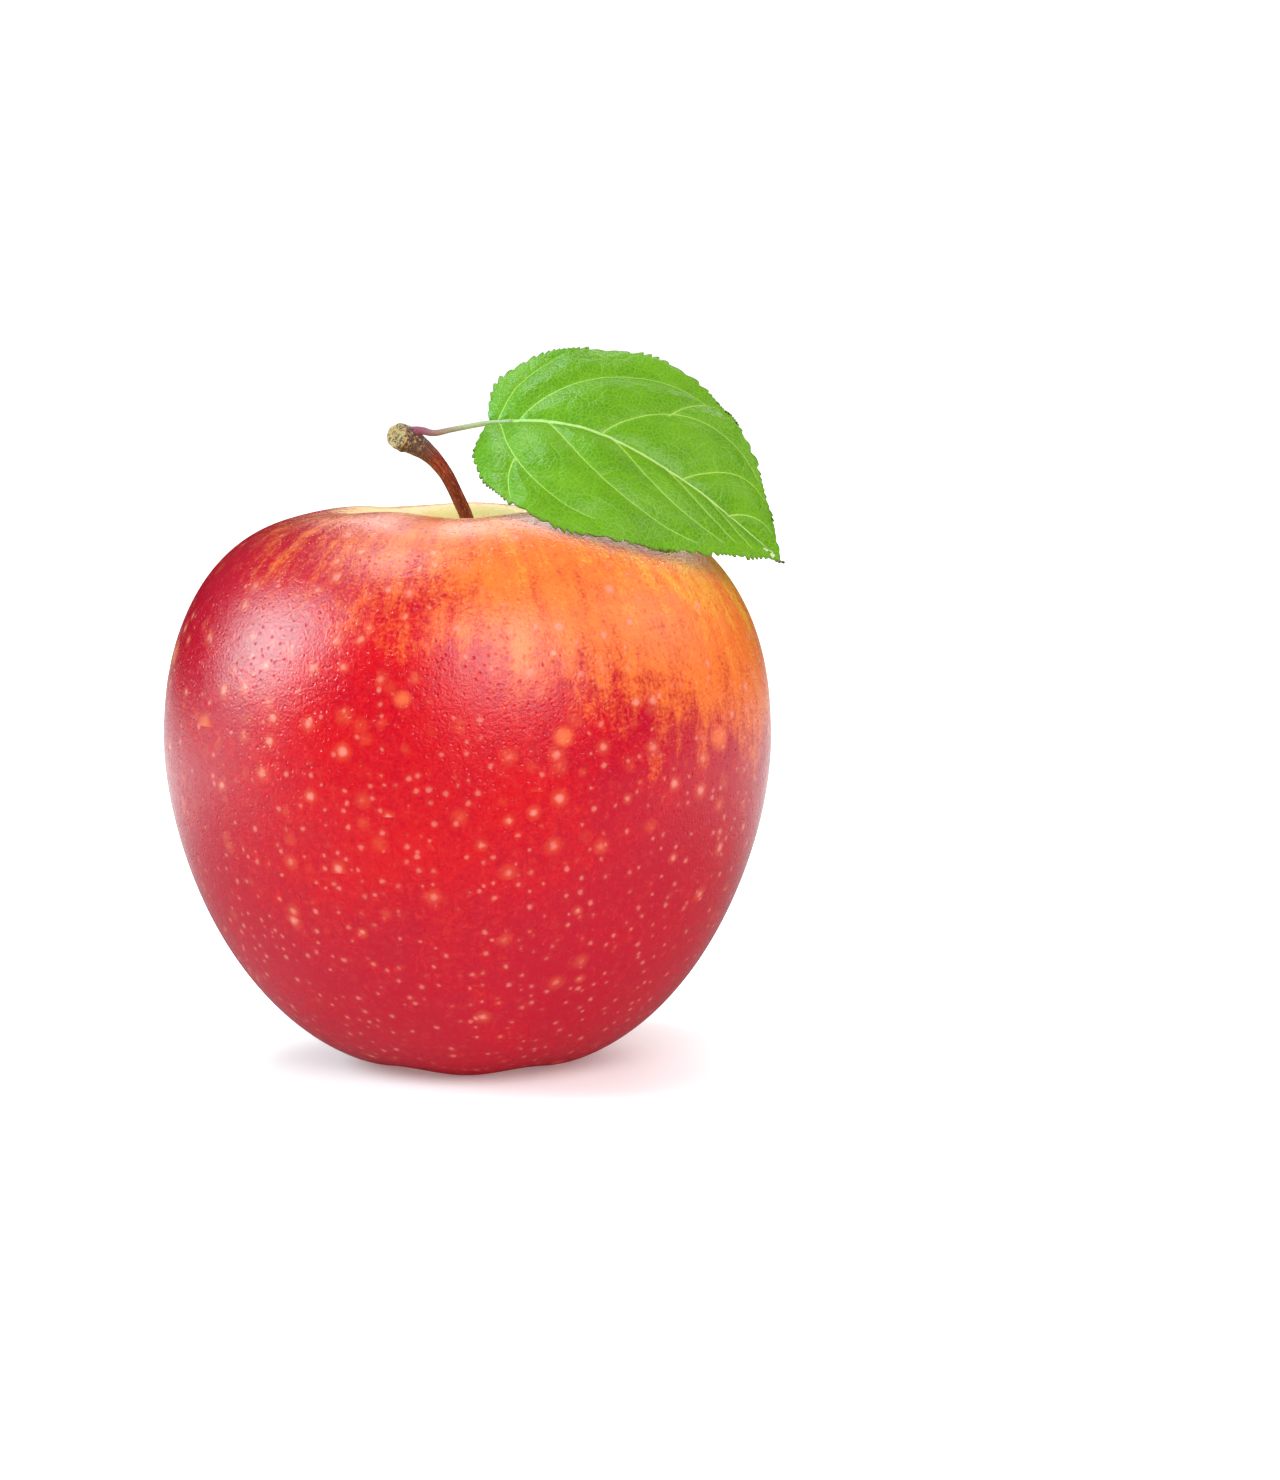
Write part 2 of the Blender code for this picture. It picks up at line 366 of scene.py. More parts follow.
class Board:
    """A node tree that is written as short expressions."""

    def __init__(self, tree: bpy.types.NodeTree) -> None:
        """Keeps the tree that the nodes go into."""
        self.tree = tree

    def feed(self, socket: bpy.types.NodeSocket, value: object) -> None:
        """Links a socket to a value of the tree, or sets its plain value.

        Args:
            socket: the node's input.
            value: a Value, or a number or tuple that the socket can hold.
        """
        if isinstance(value, Value):
            self.tree.links.new(value.socket, socket)
        else:
            socket.default_value = value

    def node(self, kind: str, *values: object) -> bpy.types.Node:
        """Makes a node.

        Args:
            kind: the node's type, without its prefix.
            values: what its first inputs take, in order.

        Returns:
            The node.
        """
        node = self.tree.nodes.new(f"ShaderNode{kind}")
        for socket, value in zip(node.inputs, values):
            self.feed(socket, value)
        return node

    def output(self, node: bpy.types.Node, name: str) -> Value:
        """One of a node's results."""
        return Value(self, node.outputs[name])

    def ray(self, kind: Ray) -> Value:
        """1 for a ray of this kind and 0 for any other."""
        return self.output(self.node("LightPath"), kind.value)

    def math(self, operation: str, *values: object) -> Value:
        """The result of one Math node.

        Args:
            operation: what the node does.
            values: its inputs in order.

        Returns:
            The result.
        """
        node = self.node("Math", *values)
        node.operation = operation
        return self.output(node, "Value")

    def vector_math(self, operation: str, output: str, *values: object) -> Value:
        """A result of one Vector Math node.

        Args:
            operation: what the node does.
            output: Vector or Value.
            values: its inputs in order.

        Returns:
            The result.
        """
        node = self.node("VectorMath", *values)
        node.operation = operation
        return self.output(node, output)

    def vector(self, x: object, y: object, z: object) -> Value:
        """A vector put together from three values."""
        return self.output(self.node("CombineXYZ", x, y, z), "Vector")

    def mixed(self, share: Value, first: object, second: object) -> Value:
        """A number between two others.

        Args:
            share: 0 for the first and 1 for the second.
            first: a number or a value.
            second: a number or a value.

        Returns:
            The number between them.
        """
        node = self.node("Mix", share)
        self.feed(node.inputs["A"], first)
        self.feed(node.inputs["B"], second)
        return self.output(node, "Result")

    def cells(self, vector: Value, size: float) -> bpy.types.Node:
        """A Voronoi node.

        Args:
            vector: where it is read.
            size: the width of a cell.

        Returns:
            The node.
        """
        node = self.node("TexVoronoi", vector)
        node.inputs["Scale"].default_value = 1.0 / size
        return node

    def net(self, vector: Value, size: float) -> Value:
        """How far a flat place is from the line between two cells.

        Args:
            vector: where it is read.
            size: the width of a cell.

        Returns:
            The distance, as a share of a cell.
        """
        node = self.cells(vector, size)
        node.voronoi_dimensions = "2D"
        node.feature = "DISTANCE_TO_EDGE"
        return self.output(node, "Distance")

    def blend(self, share: Value, first: object, second: object) -> Value:
        """A colour between two others.

        Args:
            share: 0 for the first and 1 for the second.
            first: a colour's value or its three numbers.
            second: a colour's value or its three numbers.

        Returns:
            The colour between them.
        """
        node = self.node("Mix", share)
        node.data_type = "RGBA"
        sockets = [socket for socket in node.inputs if socket.type == "RGBA"]
        for socket, colour in zip(sockets, (first, second)):
            self.feed(socket, (*colour, 1.0) if isinstance(colour, tuple) else colour)
        return Value(self, next(socket for socket in node.outputs if socket.type == "RGBA"))

    def painted(self, colour: object, *coats: tuple[Value, object]) -> Value:
        """A colour with others laid over it.

        Args:
            colour: the lowest colour.
            coats: each further colour after its share, in order.

        Returns:
            The colour on top.
        """
        for share, coat in coats:
            colour = self.blend(share, colour, coat)
        return colour


class Finish(Board):
    """A new material's node tree, with its shader and its place in millimetres."""

    def __init__(self, name: str) -> None:
        """Makes a material.

        Args:
            name: the material's name.
        """
        self.material = bpy.data.materials.new(name)
        self.material.use_nodes = True
        super().__init__(self.material.node_tree)
        self.shader = self.tree.nodes["Principled BSDF"]
        self.place = self.output(self.node("TexCoord"), "Object").stretched((1 / MM, 1 / MM, 1 / MM))

    def stored(self, name: str, output: str = "Fac") -> Value:
        """A value that the mesh stores for each point.

        Args:
            name: the stored value's name.
            output: Fac for a number, or Vector.

        Returns:
            The stored value.
        """
        node = self.node("Attribute")
        node.attribute_name = name
        return self.output(node, output)

    def set(self, name: str, value: object) -> None:
        """Sets a plain value on one of the shader's sockets."""
        self.shader.inputs[name].default_value = value

    def finished(self, colour: Value, roughness: Value, relief: Value, depth: float) -> bpy.types.Material:
        """Gives the shader its colour, its roughness and its bump.

        Args:
            colour: the base colour.
            roughness: the roughness.
            relief: the bump's height.
            depth: how far a height of 1 stands proud, in millimetres.

        Returns:
            The material.
        """
        bump = self.node("Bump")
        bump.inputs["Strength"].default_value = 1.0
        bump.inputs["Distance"].default_value = depth * MM
        self.feed(bump.inputs["Height"], relief)
        self.feed(self.shader.inputs["Normal"], self.output(bump, "Normal"))
        self.feed(self.shader.inputs["Base Color"], colour)
        self.feed(self.shader.inputs["Roughness"], roughness)
        return self.material


@dataclass(frozen=True)
class SkinNoise:
    """The places and the noises that the skin's colour and relief share."""

    radius: Value
    height: Value
    broad: Value
    streak: Value
    fibre: Value
    cloud: Value
    patch: Value
    mottle: Value
    grain: Value


@dataclass(frozen=True)
class DotSize:
    """One size of pale dots: its cells and largest radius, and the share of cells held by height."""

    spacing: float
    radius: float
    share: Ramp


@dataclass(frozen=True)
class DotMasks:
    """The masks of one size of pale dots: the dots, their halos and their dark cores."""

    dot: Value
    halo: Value
    core: Value


@dataclass(frozen=True)
class SkinFinish:
    """Waxy apple skin: a red blush over a yellow ground, with streaks, fibres, pale dots and painted shade.
    """

    ground: Colour = (0.82, 0.42, 0.045)
    flush: Colour = (0.80, 0.17, 0.028)
    blush: Colour = (0.57, 0.0015, 0.006)
    # The darker red of the blush: in random patches, and as painted shade away from the painted lit spot.
    crimson_and_painted_shade: Colour = (0.42, 0.0015, 0.016)
    pale: Colour = (0.76, 0.045, 0.06)
    dark: Colour = (0.30, 0.002, 0.010)
    dot: Colour = (0.79, 0.28, 0.23)
    halo: Colour = (0.82, 0.17, 0.05)
    dot_core: Colour = (0.30, 0.10, 0.03)
    cavity: Colour = (0.80, 0.62, 0.20)
    russet: Colour = (0.36, 0.26, 0.07)
    middle: Place = (0.0, 0.0, 38.0)
    shade_side: Place = (0.71, 0.08, 0.70)
    # The middle of the painted light: the blush is lightest round this spot at the front and darker away from
    # it.
    painted_light_spot: Place = (-6.0, -38.0, 46.0)
    cavity_edge: Span = (19.0, 12.0)
    cavity_rise: Span = (50.0, 60.0)
    basin_edge: Span = (12.0, 6.5)
    basin_rise: Span = (20.0, 12.0)
    russet_edge: Span = (8.5, 2.5)
    russet_rise: Span = (50.0, 58.0)
    core_rise: Span = (52.0, 66.0)
    fine: DotSize = DotSize(1.5, 0.42, (62.0, 36.0, 0.08, 0.68))
    coarse: DotSize = DotSize(3.0, 0.7, (18.0, 50.0, 0.1, 0.7))
    blots: DotSize = DotSize(6.5, 1.0, (36.0, 60.0, 0.0, 0.5))
    dot_disorder: float = 0.75
    roughness: float = 0.19
    wax_ior: float = 1.54
    pore_size: float = 0.9
    relief_depth: float = 0.012

    def noises(self, board: Finish) -> SkinNoise:
        """Works out the places and the noises of the skin.

        Args:
            board: the skin's material.

        Returns:
            The values that the other methods read.
        """
        x, y, height = board.place.parts()
        radius = board.math("SQRT", x * x + y * y)
        reach = radius.larger(0.01)
        around = board.vector(x / reach, y / reach, height * 0.004)
        return SkinNoise(
            radius=radius,
            height=height,
            broad=around.stretched((8.0, 8.0, 9.0)).noise(1.0, 3.0, 0.6),
            streak=around.stretched((20.0, 20.0, 22.0)).noise(1.0, 4.0, 0.6),
            fibre=around.stretched((60.0, 60.0, 110.0)).noise(1.0, 3.0, 0.6),
            cloud=board.place.noise(0.11, 4.0, 0.6),
            patch=board.place.noise(0.32, 4.0, 0.62),
            mottle=board.place.noise(1.0, 5.0, 0.65),
            grain=board.place.noise(2.3, 3.0, 0.7),
        )

    def shade(self, board: Finish) -> Value:
        """How far a place looks to the fruit's shaded side, where the blush is thin.

        Args:
            board: the skin's material.

        Returns:
            -1 on the lit side to 1 on the shaded side.
        """
        outward = board.vector_math("SUBTRACT", "Vector", board.place, self.middle)
        unit_outward = board.vector_math("NORMALIZE", "Vector", outward)
        return board.vector_math("DOT_PRODUCT", "Value", unit_outward, self.shade_side)

    def blushed(self, board: Finish, skin: SkinNoise) -> Value:
        """The red blush over the yellow ground, streaked and speckled, and darkened by painted shade.

        Args:
            board: the skin's material.
            skin: its places and noises.

        Returns:
            The colour without dots or hollows.
        """
        speckle = skin.mottle.sway(1.0) + skin.fibre.sway(0.7) + skin.grain.sway(2.2)
        paleness = self.shade(board) + skin.broad.sway(0.55) + skin.cloud.sway(0.7)
        paleness = paleness + skin.patch.sway(0.55) + skin.streak.sway(0.75)
        paleness = paleness + skin.height.step(66.0, 36.0, 0.08, -0.6) + speckle * 0.32
        # Painted light and shade: the blush is lightest round a spot at the front and darkens to crimson away
        # from it, mixed with random mottling.
        away = board.place.distance(self.painted_light_spot).step(10.0, 40.0, 0.25, -0.45)
        deep = speckle + away + skin.cloud.sway(1.4)
        return board.painted(
            self.crimson_and_painted_shade,
            (deep.step(-0.5, 0.5), self.blush),
            (speckle.step(0.1, 0.8, 0.0, 0.28), self.pale),
            (speckle.step(-0.1, -0.8, 0.0, 0.5), self.dark),
            (paleness.step(0.05, 0.72), self.flush),
            (paleness.step(0.7, 1.3), self.ground),
            (speckle.step(0.0, -0.7, 0.0, 0.38), self.blush),
        )

    def dots(self, board: Finish, height: Value, size: DotSize) -> DotMasks:
        """One size of pale dots in the skin.

        Args:
            board: the skin's material.
            height: the height above the table.
            size: which dots.

        Returns:
            The masks of the dots.
        """
        cell = board.cells(board.place.warped(1.3, 0.5), size.spacing)
        cell.inputs["Randomness"].default_value = self.dot_disorder
        chance = board.output(cell, "Color").parts()
        held = board.math("LESS_THAN", chance[0], height.step(*size.share))
        radius = chance[1].step(0.0, 1.0, 0.6 * size.radius, size.radius)
        near = board.output(cell, "Distance") * size.spacing / radius
        return DotMasks(
            dot=near.step(1.25, 0.3) * held,
            halo=near.step(2.6, 0.5) * held,
            core=near.step(0.32, 0.12) * held * height.step(*self.core_rise),
        )

    def material(self) -> bpy.types.Material:
        """Paints the dots, the hollows and the russet over the blush.

        Returns:
            The skin's material.
        """
        board = Finish("apple_skin")
        skin = self.noises(board)
        radius, height = skin.radius, skin.height
        sizes = (self.fine, self.coarse, self.blots)
        fine, coarse, blots = (self.dots(board, height, size) for size in sizes)
        halo = (fine.halo * 0.06).larger(coarse.halo * 0.25).larger(blots.halo * 0.7)
        dot = (fine.dot * 0.40).larger(coarse.dot * 0.60)
        core = (fine.core * 0.4).larger(coarse.core)
        top = (radius + skin.patch.sway(9.0)).step(*self.cavity_edge) * height.step(*self.cavity_rise)
        bottom = (radius + skin.patch.sway(7.0)).step(*self.basin_edge) * height.step(*self.basin_rise)
        hollow = top.larger(bottom)
        outside = 1.0 - hollow
        rust = (radius + skin.streak.sway(8.0)).step(*self.russet_edge) * height.step(*self.russet_rise)
        colour = board.painted(
            self.blushed(board, skin),
            (halo * outside, self.halo),
            (dot * outside, self.dot),
            (core * outside * 0.8, self.dot_core),
            (hollow * skin.mottle.step(0.2, 0.6, 0.75, 1.0), self.cavity),
            (rust * 0.85, self.russet),
        )
        wax = self.roughness + skin.mottle.sway(0.2) + skin.grain.sway(0.3) + hollow * 0.2
        board.set("IOR", self.wax_ior)
        pore = board.output(board.cells(board.place, self.pore_size), "Distance").step(0.05, 0.3)
        relief = board.place.noise(0.4, 1.0, 0.5) * 4.0 + skin.mottle * 3.0 + skin.grain * 6.5
        relief = relief + pore * 4.5 + dot * 0.8 + rust * skin.grain * 4.0
        return board.finished(colour, wax, relief, self.relief_depth)


@dataclass(frozen=True)
class BarkFinish:
    """Thin reddish-brown bark with pale streaks, grey towards the knob, with a corky scar."""

    bark: Colour = (0.20, 0.012, 0.004)
    streak: Colour = (0.40, 0.050, 0.013)
    groove: Colour = (0.07, 0.010, 0.006)
    fleck: Colour = (0.62, 0.30, 0.16)
    grey: Colour = (0.085, 0.045, 0.04)
    cork: Colour = (0.56, 0.38, 0.15)
    crack: Colour = (0.10, 0.055, 0.02)
    green: Colour = (0.30, 0.28, 0.05)
    knob: Place = (-8.4, -6.2, 82.8)
    relief_depth: float = 0.2

    def material(self) -> bpy.types.Material:
        """Paints streaks and flecks along the bark, and the scar on its end.

        Returns:
            The stem's material.
        """
        board = Finish("stem_bark")
        bark = board.stored("bark", "Vector")
        lines = bark.stretched((3.2, 3.2, 0.28)).noise(1.0, 4.0, 0.65)
        fine = bark.stretched((7.0, 7.0, 1.6)).noise(1.0, 3.0, 0.6)
        blotch = board.place.noise(0.9, 4.0, 0.6)
        height = board.place.parts()[2]
        near = board.place.distance(self.knob) + blotch * 3.0
        flaky = board.place.noise(2.2, 4.0, 0.7).step(0.5, 0.62) * near.step(6.0, 3.6)
        scar = board.stored("scar") + blotch * 0.4
        cork = board.blend(board.place.noise(1.5, 5.0, 0.75).step(0.4, 0.52), self.crack, self.cork)
        colour = board.painted(
            self.bark,
            (lines.step(0.42, 0.62), self.streak),
            (fine.step(0.44, 0.28) * 0.8, self.groove),
            (fine.step(0.56, 0.72) * 0.75, self.fleck),
            (height.step(66.0, 60.0) * 0.6, self.green),
            (near.step(7.6, 4.2, 0.0, 0.9), self.grey),
            (flaky * 0.8, self.cork),
            (scar.step(0.45, 0.75), cork),
        )
        relief = lines * 1.2 + fine * 0.9 + blotch * 0.6
        return board.finished(colour, blotch.step(0.3, 0.7, 0.38, 0.6), relief, self.relief_depth)


@dataclass(frozen=True)
class LeafFinish:
    """One face of a fresh leaf: pale veins, a fine net of veinlets and a soft sheen."""

    name: str = "leaf_upper"
    green: Colour = (0.118, 0.295, 0.004)
    deep: Colour = (0.078, 0.222, 0.003)
    veinlet: Colour = (0.18, 0.39, 0.010)
    vein: Colour = (0.34, 0.54, 0.10)
    rib: Colour = (0.42, 0.60, 0.18)
    edge: Colour = (0.10, 0.16, 0.02)
    roughness: float = 0.33
    specular: float = 0.32
    wide_mesh: float = 2.6
    fine_mesh: float = 0.62
    vein_rise: float = -0.5
    relief_depth: float = 0.045

    def material(self) -> bpy.types.Material:
        """Paints the veins and the net of veinlets over the blade's green.

        Returns:
            The material of this face.
        """
        board = Finish(self.name)
        blade = board.stored("blade", "Vector")
        warp = blade.noise(0.5, 2.0, 0.5)
        x, y, _ = blade.parts()
        bent = board.vector(x + warp * 0.9, y + warp * -0.7, 0.0)
        wide_net = board.net(bent, self.wide_mesh)
        fine_net = board.net(bent, self.fine_mesh)
        vein_away = board.stored("vein")
        vein_side = board.math("ABSOLUTE", board.stored("vein_side"))
        vein = vein_side.step(1.3, 0.4) * vein_away.step(6.0, 4.0)
        rib = board.stored("rib").step(1.1, 0.75)
        cloud = blade.noise(0.16, 4.0, 0.6)
        speck = blade.noise(3.2, 3.0, 0.6)
        colour = board.painted(
            self.deep,
            (cloud.step(0.3, 0.7), self.green),
            (speck.step(0.4, 0.7) * 0.3, self.veinlet),
            (fine_net.step(0.16, 0.03) * 0.45, self.veinlet),
            (wide_net.step(0.035, 0.008) * 0.45, self.veinlet),
            (vein_away.step(6.0, 0.8) * 0.25, self.veinlet),
            (vein * 0.85, self.vein),
            (rib * 0.9, self.rib),
            (board.stored("margin").step(0.45, 0.05) * 0.6, self.edge),
        )
        board.set("Specular IOR Level", self.specular)
        puff = fine_net.step(0.0, 0.3) * 0.5 + wide_net.step(0.0, 0.2) * 0.9 + speck * 0.35
        relief = puff + vein.larger(rib) * self.vein_rise
        return board.finished(colour, self.roughness + cloud.sway(0.25), relief, self.relief_depth)


@dataclass(frozen=True)
class StalkFinish:
    """The leaf's stalk: purple-red at the stem's knob and grey-green nearer the blade."""

    purple: Colour = (0.26, 0.06, 0.10)
    green: Colour = (0.34, 0.42, 0.20)
    start: float = -6.5
    end: float = 2.0
    relief_depth: float = 0.05

    def material(self) -> bpy.types.Material:
        """Paints the stalk from one colour to the other.

        Returns:
            The stalk's material.
        """
        board = Finish("leaf_stalk")
        speck = board.place.stretched((0.6, 3.0, 3.0)).noise(1.0, 3.0, 0.6)
        share = board.place.parts()[0] + speck.sway(4.0)
        colour = board.blend(share.step(self.start, self.end), self.purple, self.green)
        return board.finished(colour, speck.step(0.3, 0.7, 0.45, 0.6), speck, self.relief_depth)


@dataclass(frozen=True)
class DriedFinish:
    """Dried, dull remains of the flower, pale green where they grow from the fruit."""

    name: str
    dark: Colour
    light: Colour
    base: Colour
    base_height: float
    base_blur: float = 1.5
    relief_depth: float = 0.1

    def material(self) -> bpy.types.Material:
        """Paints blotches and fibres, and the part that is still green.

        Returns:
            The dried pieces' material.
        """
        board = Finish(self.name)
        blotch = board.place.noise(1.6, 4.0, 0.65)
        fibre = board.place.stretched((4.0, 4.0, 0.8)).noise(1.0, 3.0, 0.6)
        rise = board.place.parts()[2] + blotch.sway(3.0)
        colour = board.painted(
            self.dark,
            (blotch.step(0.38, 0.64), self.light),
            (fibre.step(0.5, 0.7) * 0.5, self.light),
            (rise.step(self.base_height - self.base_blur, self.base_height + self.base_blur), self.base),
        )
        return board.finished(colour, blotch.step(0.2, 0.8, 0.7, 0.9), blotch + fibre, self.relief_depth)


# --------------------------------------------------------------------------------------------- pieces


@dataclass
class Fruit:
    """The fruit: an outline turned about the core, lobed, with its two hollows."""

    widest_radius: float = 40.0
    widest_height: float = 43.4
    shoulder_radius: float = 15.5
    shoulder_height: float = 73.2
    foot_radius: float = 10.5
    upper_roundness: float = 2.3
    lower_roundness: float = 1.79
    cavity_depth: float = 13.0
    cavity_floor_radius: float = 1.2
    basin_depth: float = 8.0
    tube_radius: float = 3.0
    tube_depth: float = 5.0
    quarter_steps: int = 15
    hollow_steps: int = 9
    funnel: float = 0.55
    turn_steps: int = 96
    lobes: int = 5
    lobe_turn: float = math.radians(-90)
    lobe_reach: float = 0.3
    low_reach: float = 0.35
    low_height: float = 8.0
    low_spread: float = 14.0
    rim_drop: float = 0.3
    rim_spread: float = 8.0
    foot_valley: float = 0.35
    foot_dip: float = 0.2
    foot_spread: float = 7.0
    pressed_height: float = 5.0
    uneven: float = 0.25
    uneven_size: float = 22.0

    def quarter(self, inner_radius: float, end_height: float, roundness: float) -> list[Ring]:
        """The outline from the widest ring to the end of the upper or lower half.

        Args:
            inner_radius: the radius where it ends.
            end_height: the height where it ends.
            roundness: the superellipse's power, 2 for an ellipse and more for a squarer shape.

        Returns:
            Radius and height of each ring.
        """
        outline = []
        for step in range(self.quarter_steps + 1):
            angle = 0.5 * math.pi * step / self.quarter_steps
            across = max(0.0, math.cos(angle)) ** (2 / roundness)
            along = math.sin(angle) ** (2 / roundness)
            radius = inner_radius + (self.widest_radius - inner_radius) * across
            outline.append((radius, self.widest_height + (end_height - self.widest_height) * along))
        return outline

    def hollow(self, rim: Ring, floor_radius: float, rise: float) -> list[Ring]:
        """The outline from just inside a hollow's rim to its funnel-shaped floor.

        Args:
            rim: the radius and height of the rim.
            floor_radius: the radius of the floor.
            rise: the floor's height above the rim, negative for a hollow from above.

        Returns:
            Radius and height of each ring.
        """
        outline = []
        for step in range(1, self.hollow_steps + 1):
            share = step / self.hollow_steps
            radius = rim[0] + (floor_radius - rim[0]) * share
            outline.append((radius, rim[1] + rise * share**2 * (1.0 + self.funnel - self.funnel * share)))
        return outline

    def outline(self) -> list[Ring]:
        """The whole outline, from the cavity's floor round to the end of the calyx tube.

        Returns:
            Radius and height of each ring, from the core and back to it.
        """
        rim = (self.shoulder_radius, self.shoulder_height)
        foot = (self.foot_radius, 0.0)
        cavity_end = self.shoulder_height - self.cavity_depth - 0.6
        tube_end = self.basin_depth + self.tube_depth
        return [
            (0.0, cavity_end),
            *reversed(self.hollow(rim, self.cavity_floor_radius, -self.cavity_depth)),
            *reversed(self.quarter(*rim, self.upper_roundness)),
            *self.quarter(*foot, self.lower_roundness)[1:],
            *self.hollow(foot, self.tube_radius, self.basin_depth),
            (0.95 * self.tube_radius, self.basin_depth + 0.6 * self.tube_depth),
            (0.6 * self.tube_radius, tube_end),
            (0.0, tube_end + 0.3),
        ]

    def turned(self) -> bpy.types.Object:
        """Extrudes one point down the outline and spins the line about the core.

        Returns:
            The plain round body.
        """
        outline = self.outline()
        deselect_all()
        bpy.ops.mesh.primitive_plane_add(size=MM, location=(0.0, 0.0, outline[0][1] * MM))
        piece = bpy.context.object
        bpy.ops.object.mode_set(mode="EDIT")
        bpy.ops.mesh.merge(type="CENTER")
        for (radius, height), (next_radius, next_height) in zip(outline, outline[1:]):
            move = ((next_radius - radius) * MM, 0.0, (next_height - height) * MM)
            bpy.ops.mesh.extrude_vertices_move(TRANSFORM_OT_translate={"value": move})
        bpy.ops.mesh.select_all(action="SELECT")
        bpy.ops.mesh.spin(steps=self.turn_steps, angle=math.tau, center=(0, 0, 0), axis=(0, 0, 1))
        close_up()
        bpy.ops.object.transform_apply(location=True)
        return piece

    def lobed(self, points: np.ndarray) -> np.ndarray:
        """Moves points out on the lobes and in between them, and presses the feet flat.

        Args:
            points: the round body's points in millimetres.

        Returns:
            The moved points.
        """
        x, y, z = points.T
        radius = np.hypot(x, y)
        azimuth = np.arctan2(y, x)
        wave = np.cos(self.lobes * (azimuth - self.lobe_turn))
        outside = np.clip((radius - self.tube_radius) / self.tube_radius, 0.0, 1.0)
        lobe = self.lobe_reach + self.low_reach * bell(z - self.low_height, self.low_spread)
        wider = wave * lobe * np.minimum(1.0, radius / self.widest_radius)
        rim = -self.rim_drop * wave * bell(radius - self.shoulder_radius, self.rim_spread)
        near_foot = bell(np.hypot(radius - self.foot_radius, z), self.foot_spread)
        foot = near_foot * (self.foot_valley * (1 - wave) - self.foot_dip * (1 + wave)) / 2
        higher = np.where(z > self.widest_height, rim, foot)
        reach = 1.0 + outside * wider / np.maximum(radius, 1.0)
        moved = np.stack([x * reach, y * reach, z + outside * higher], axis=1)
        swell = self.uneven * outside * rough_field(points, self.uneven_size, 3.1)
        moved += swell[:, None] * points / self.widest_radius
        moved[:, 2] = np.where(z < self.pressed_height, np.maximum(moved[:, 2], 0.0), moved[:, 2])
        return moved

    def build(self) -> bpy.types.Object:
        """Builds the fruit and gives it its skin.

        Returns:
            The finished piece.
        """
        piece = self.turned()
        smoothed(piece, 2)
        set_points(piece, self.lobed(points_of(piece)))
        finish_object(piece, "apple_fruit")
        piece.data.materials.append(SkinFinish().material())
        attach(piece, BODY)
        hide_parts("fruit")
        return piece


@dataclass
class Stem:
    """The woody stem with its thickened, scarred end."""

    places: tuple[Place, ...] = (
        (0.0, 0.0, 58.8),
        (0.3, 0.0, 60.6),
        (0.8, -0.2, 65.0),
        (0.5, -0.6, 69.0),
        (-0.2, -1.2, 72.3),
        (-1.4, -2.2, 75.2),
        (-2.6, -3.1, 77.7),
        (-3.9, -3.9, 79.6),
        (-5.2, -4.6, 80.9),
        (-6.7, -5.2, 82.0),
        (-8.0, -5.9, 82.7),
        (-8.7, -6.8, 83.0),
        (-9.0, -7.3, 83.1),
    )
    radii: tuple[float, ...] = (1.5, 1.15, 0.95, 0.9, 0.9, 0.9, 0.95, 1.05, 1.25, 1.6, 1.85, 1.75, 1.45)
    ridge_height: float = 0.07
    ridge_stretch: Place = (2.2, 2.2, 0.35)
    knob_span: Span = (5.5, 2.0)
    knob_relief: float = 0.14
    crater_depth: float = 0.35
    crater_radius: float = 0.9

    def bark_map(self, points: np.ndarray) -> np.ndarray:
        """Where each point lies on the bark.

        Args:
            points: the mesh's points in millimetres.

        Returns:
            A vector (across, across, along) for each point.
        """
        middle = np.array(self.places)
        fine = np.concatenate([np.linspace(a, b, 12, endpoint=False) for a, b in zip(middle, middle[1:])])
        nearest = np.argmin(((points[:, None, :] - fine[None]) ** 2).sum(axis=2), axis=1)
        run = run_along(fine)
        ahead = unit(np.gradient(fine, axis=0))
        side = unit(np.cross(ahead, (0.0, 1.0, 0.0)))
        other = np.cross(ahead, side)
        offset = points - fine[nearest]
        first = (offset * side[nearest]).sum(axis=1)
        second = (offset * other[nearest]).sum(axis=1)
        return np.stack([first, second, run[nearest]], axis=1)

    def build(self) -> bpy.types.Object:
        """Builds the stem, roughens its bark and marks the scar on its end.

        Returns:
            The finished piece.
        """
        piece = tube(self.places, self.radii, 6, 6)
        smoothed(piece, 1)
        points = points_of(piece)
        normals = normals_of(piece)
        bark = self.bark_map(points)
        ridged = bark * self.ridge_stretch
        end = np.array(self.places[-1])
        ahead = unit(end - np.array(self.places[-3]))
        offset = points - end
        forward = offset @ ahead
        across = np.linalg.norm(offset - forward[:, None] * ahead, axis=1)
        knob = ease(bark[:, 2], *(bark[:, 2].max() - np.array(self.knob_span)))
        relief = self.ridge_height * rough_field(ridged, 1.0, 5.0)
        relief += knob * self.knob_relief * rough_field(points, 0.8, 9.0)
        moved = points + relief[:, None] * normals
        crater = self.crater_depth * bell(across, self.crater_radius) * ease(forward, -0.6, -0.1)
        moved -= crater[:, None] * ahead
        set_points(piece, moved)
        keep_vector(piece, "bark", bark)
        keep_number(piece, "scar", ease(forward, -0.75, -0.35) * ease(across, 1.75, 1.45))
        finish_object(piece, "apple_stem")
        piece.data.materials.append(BarkFinish().material())
        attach(piece, BODY)
        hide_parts("stem")
        return piece


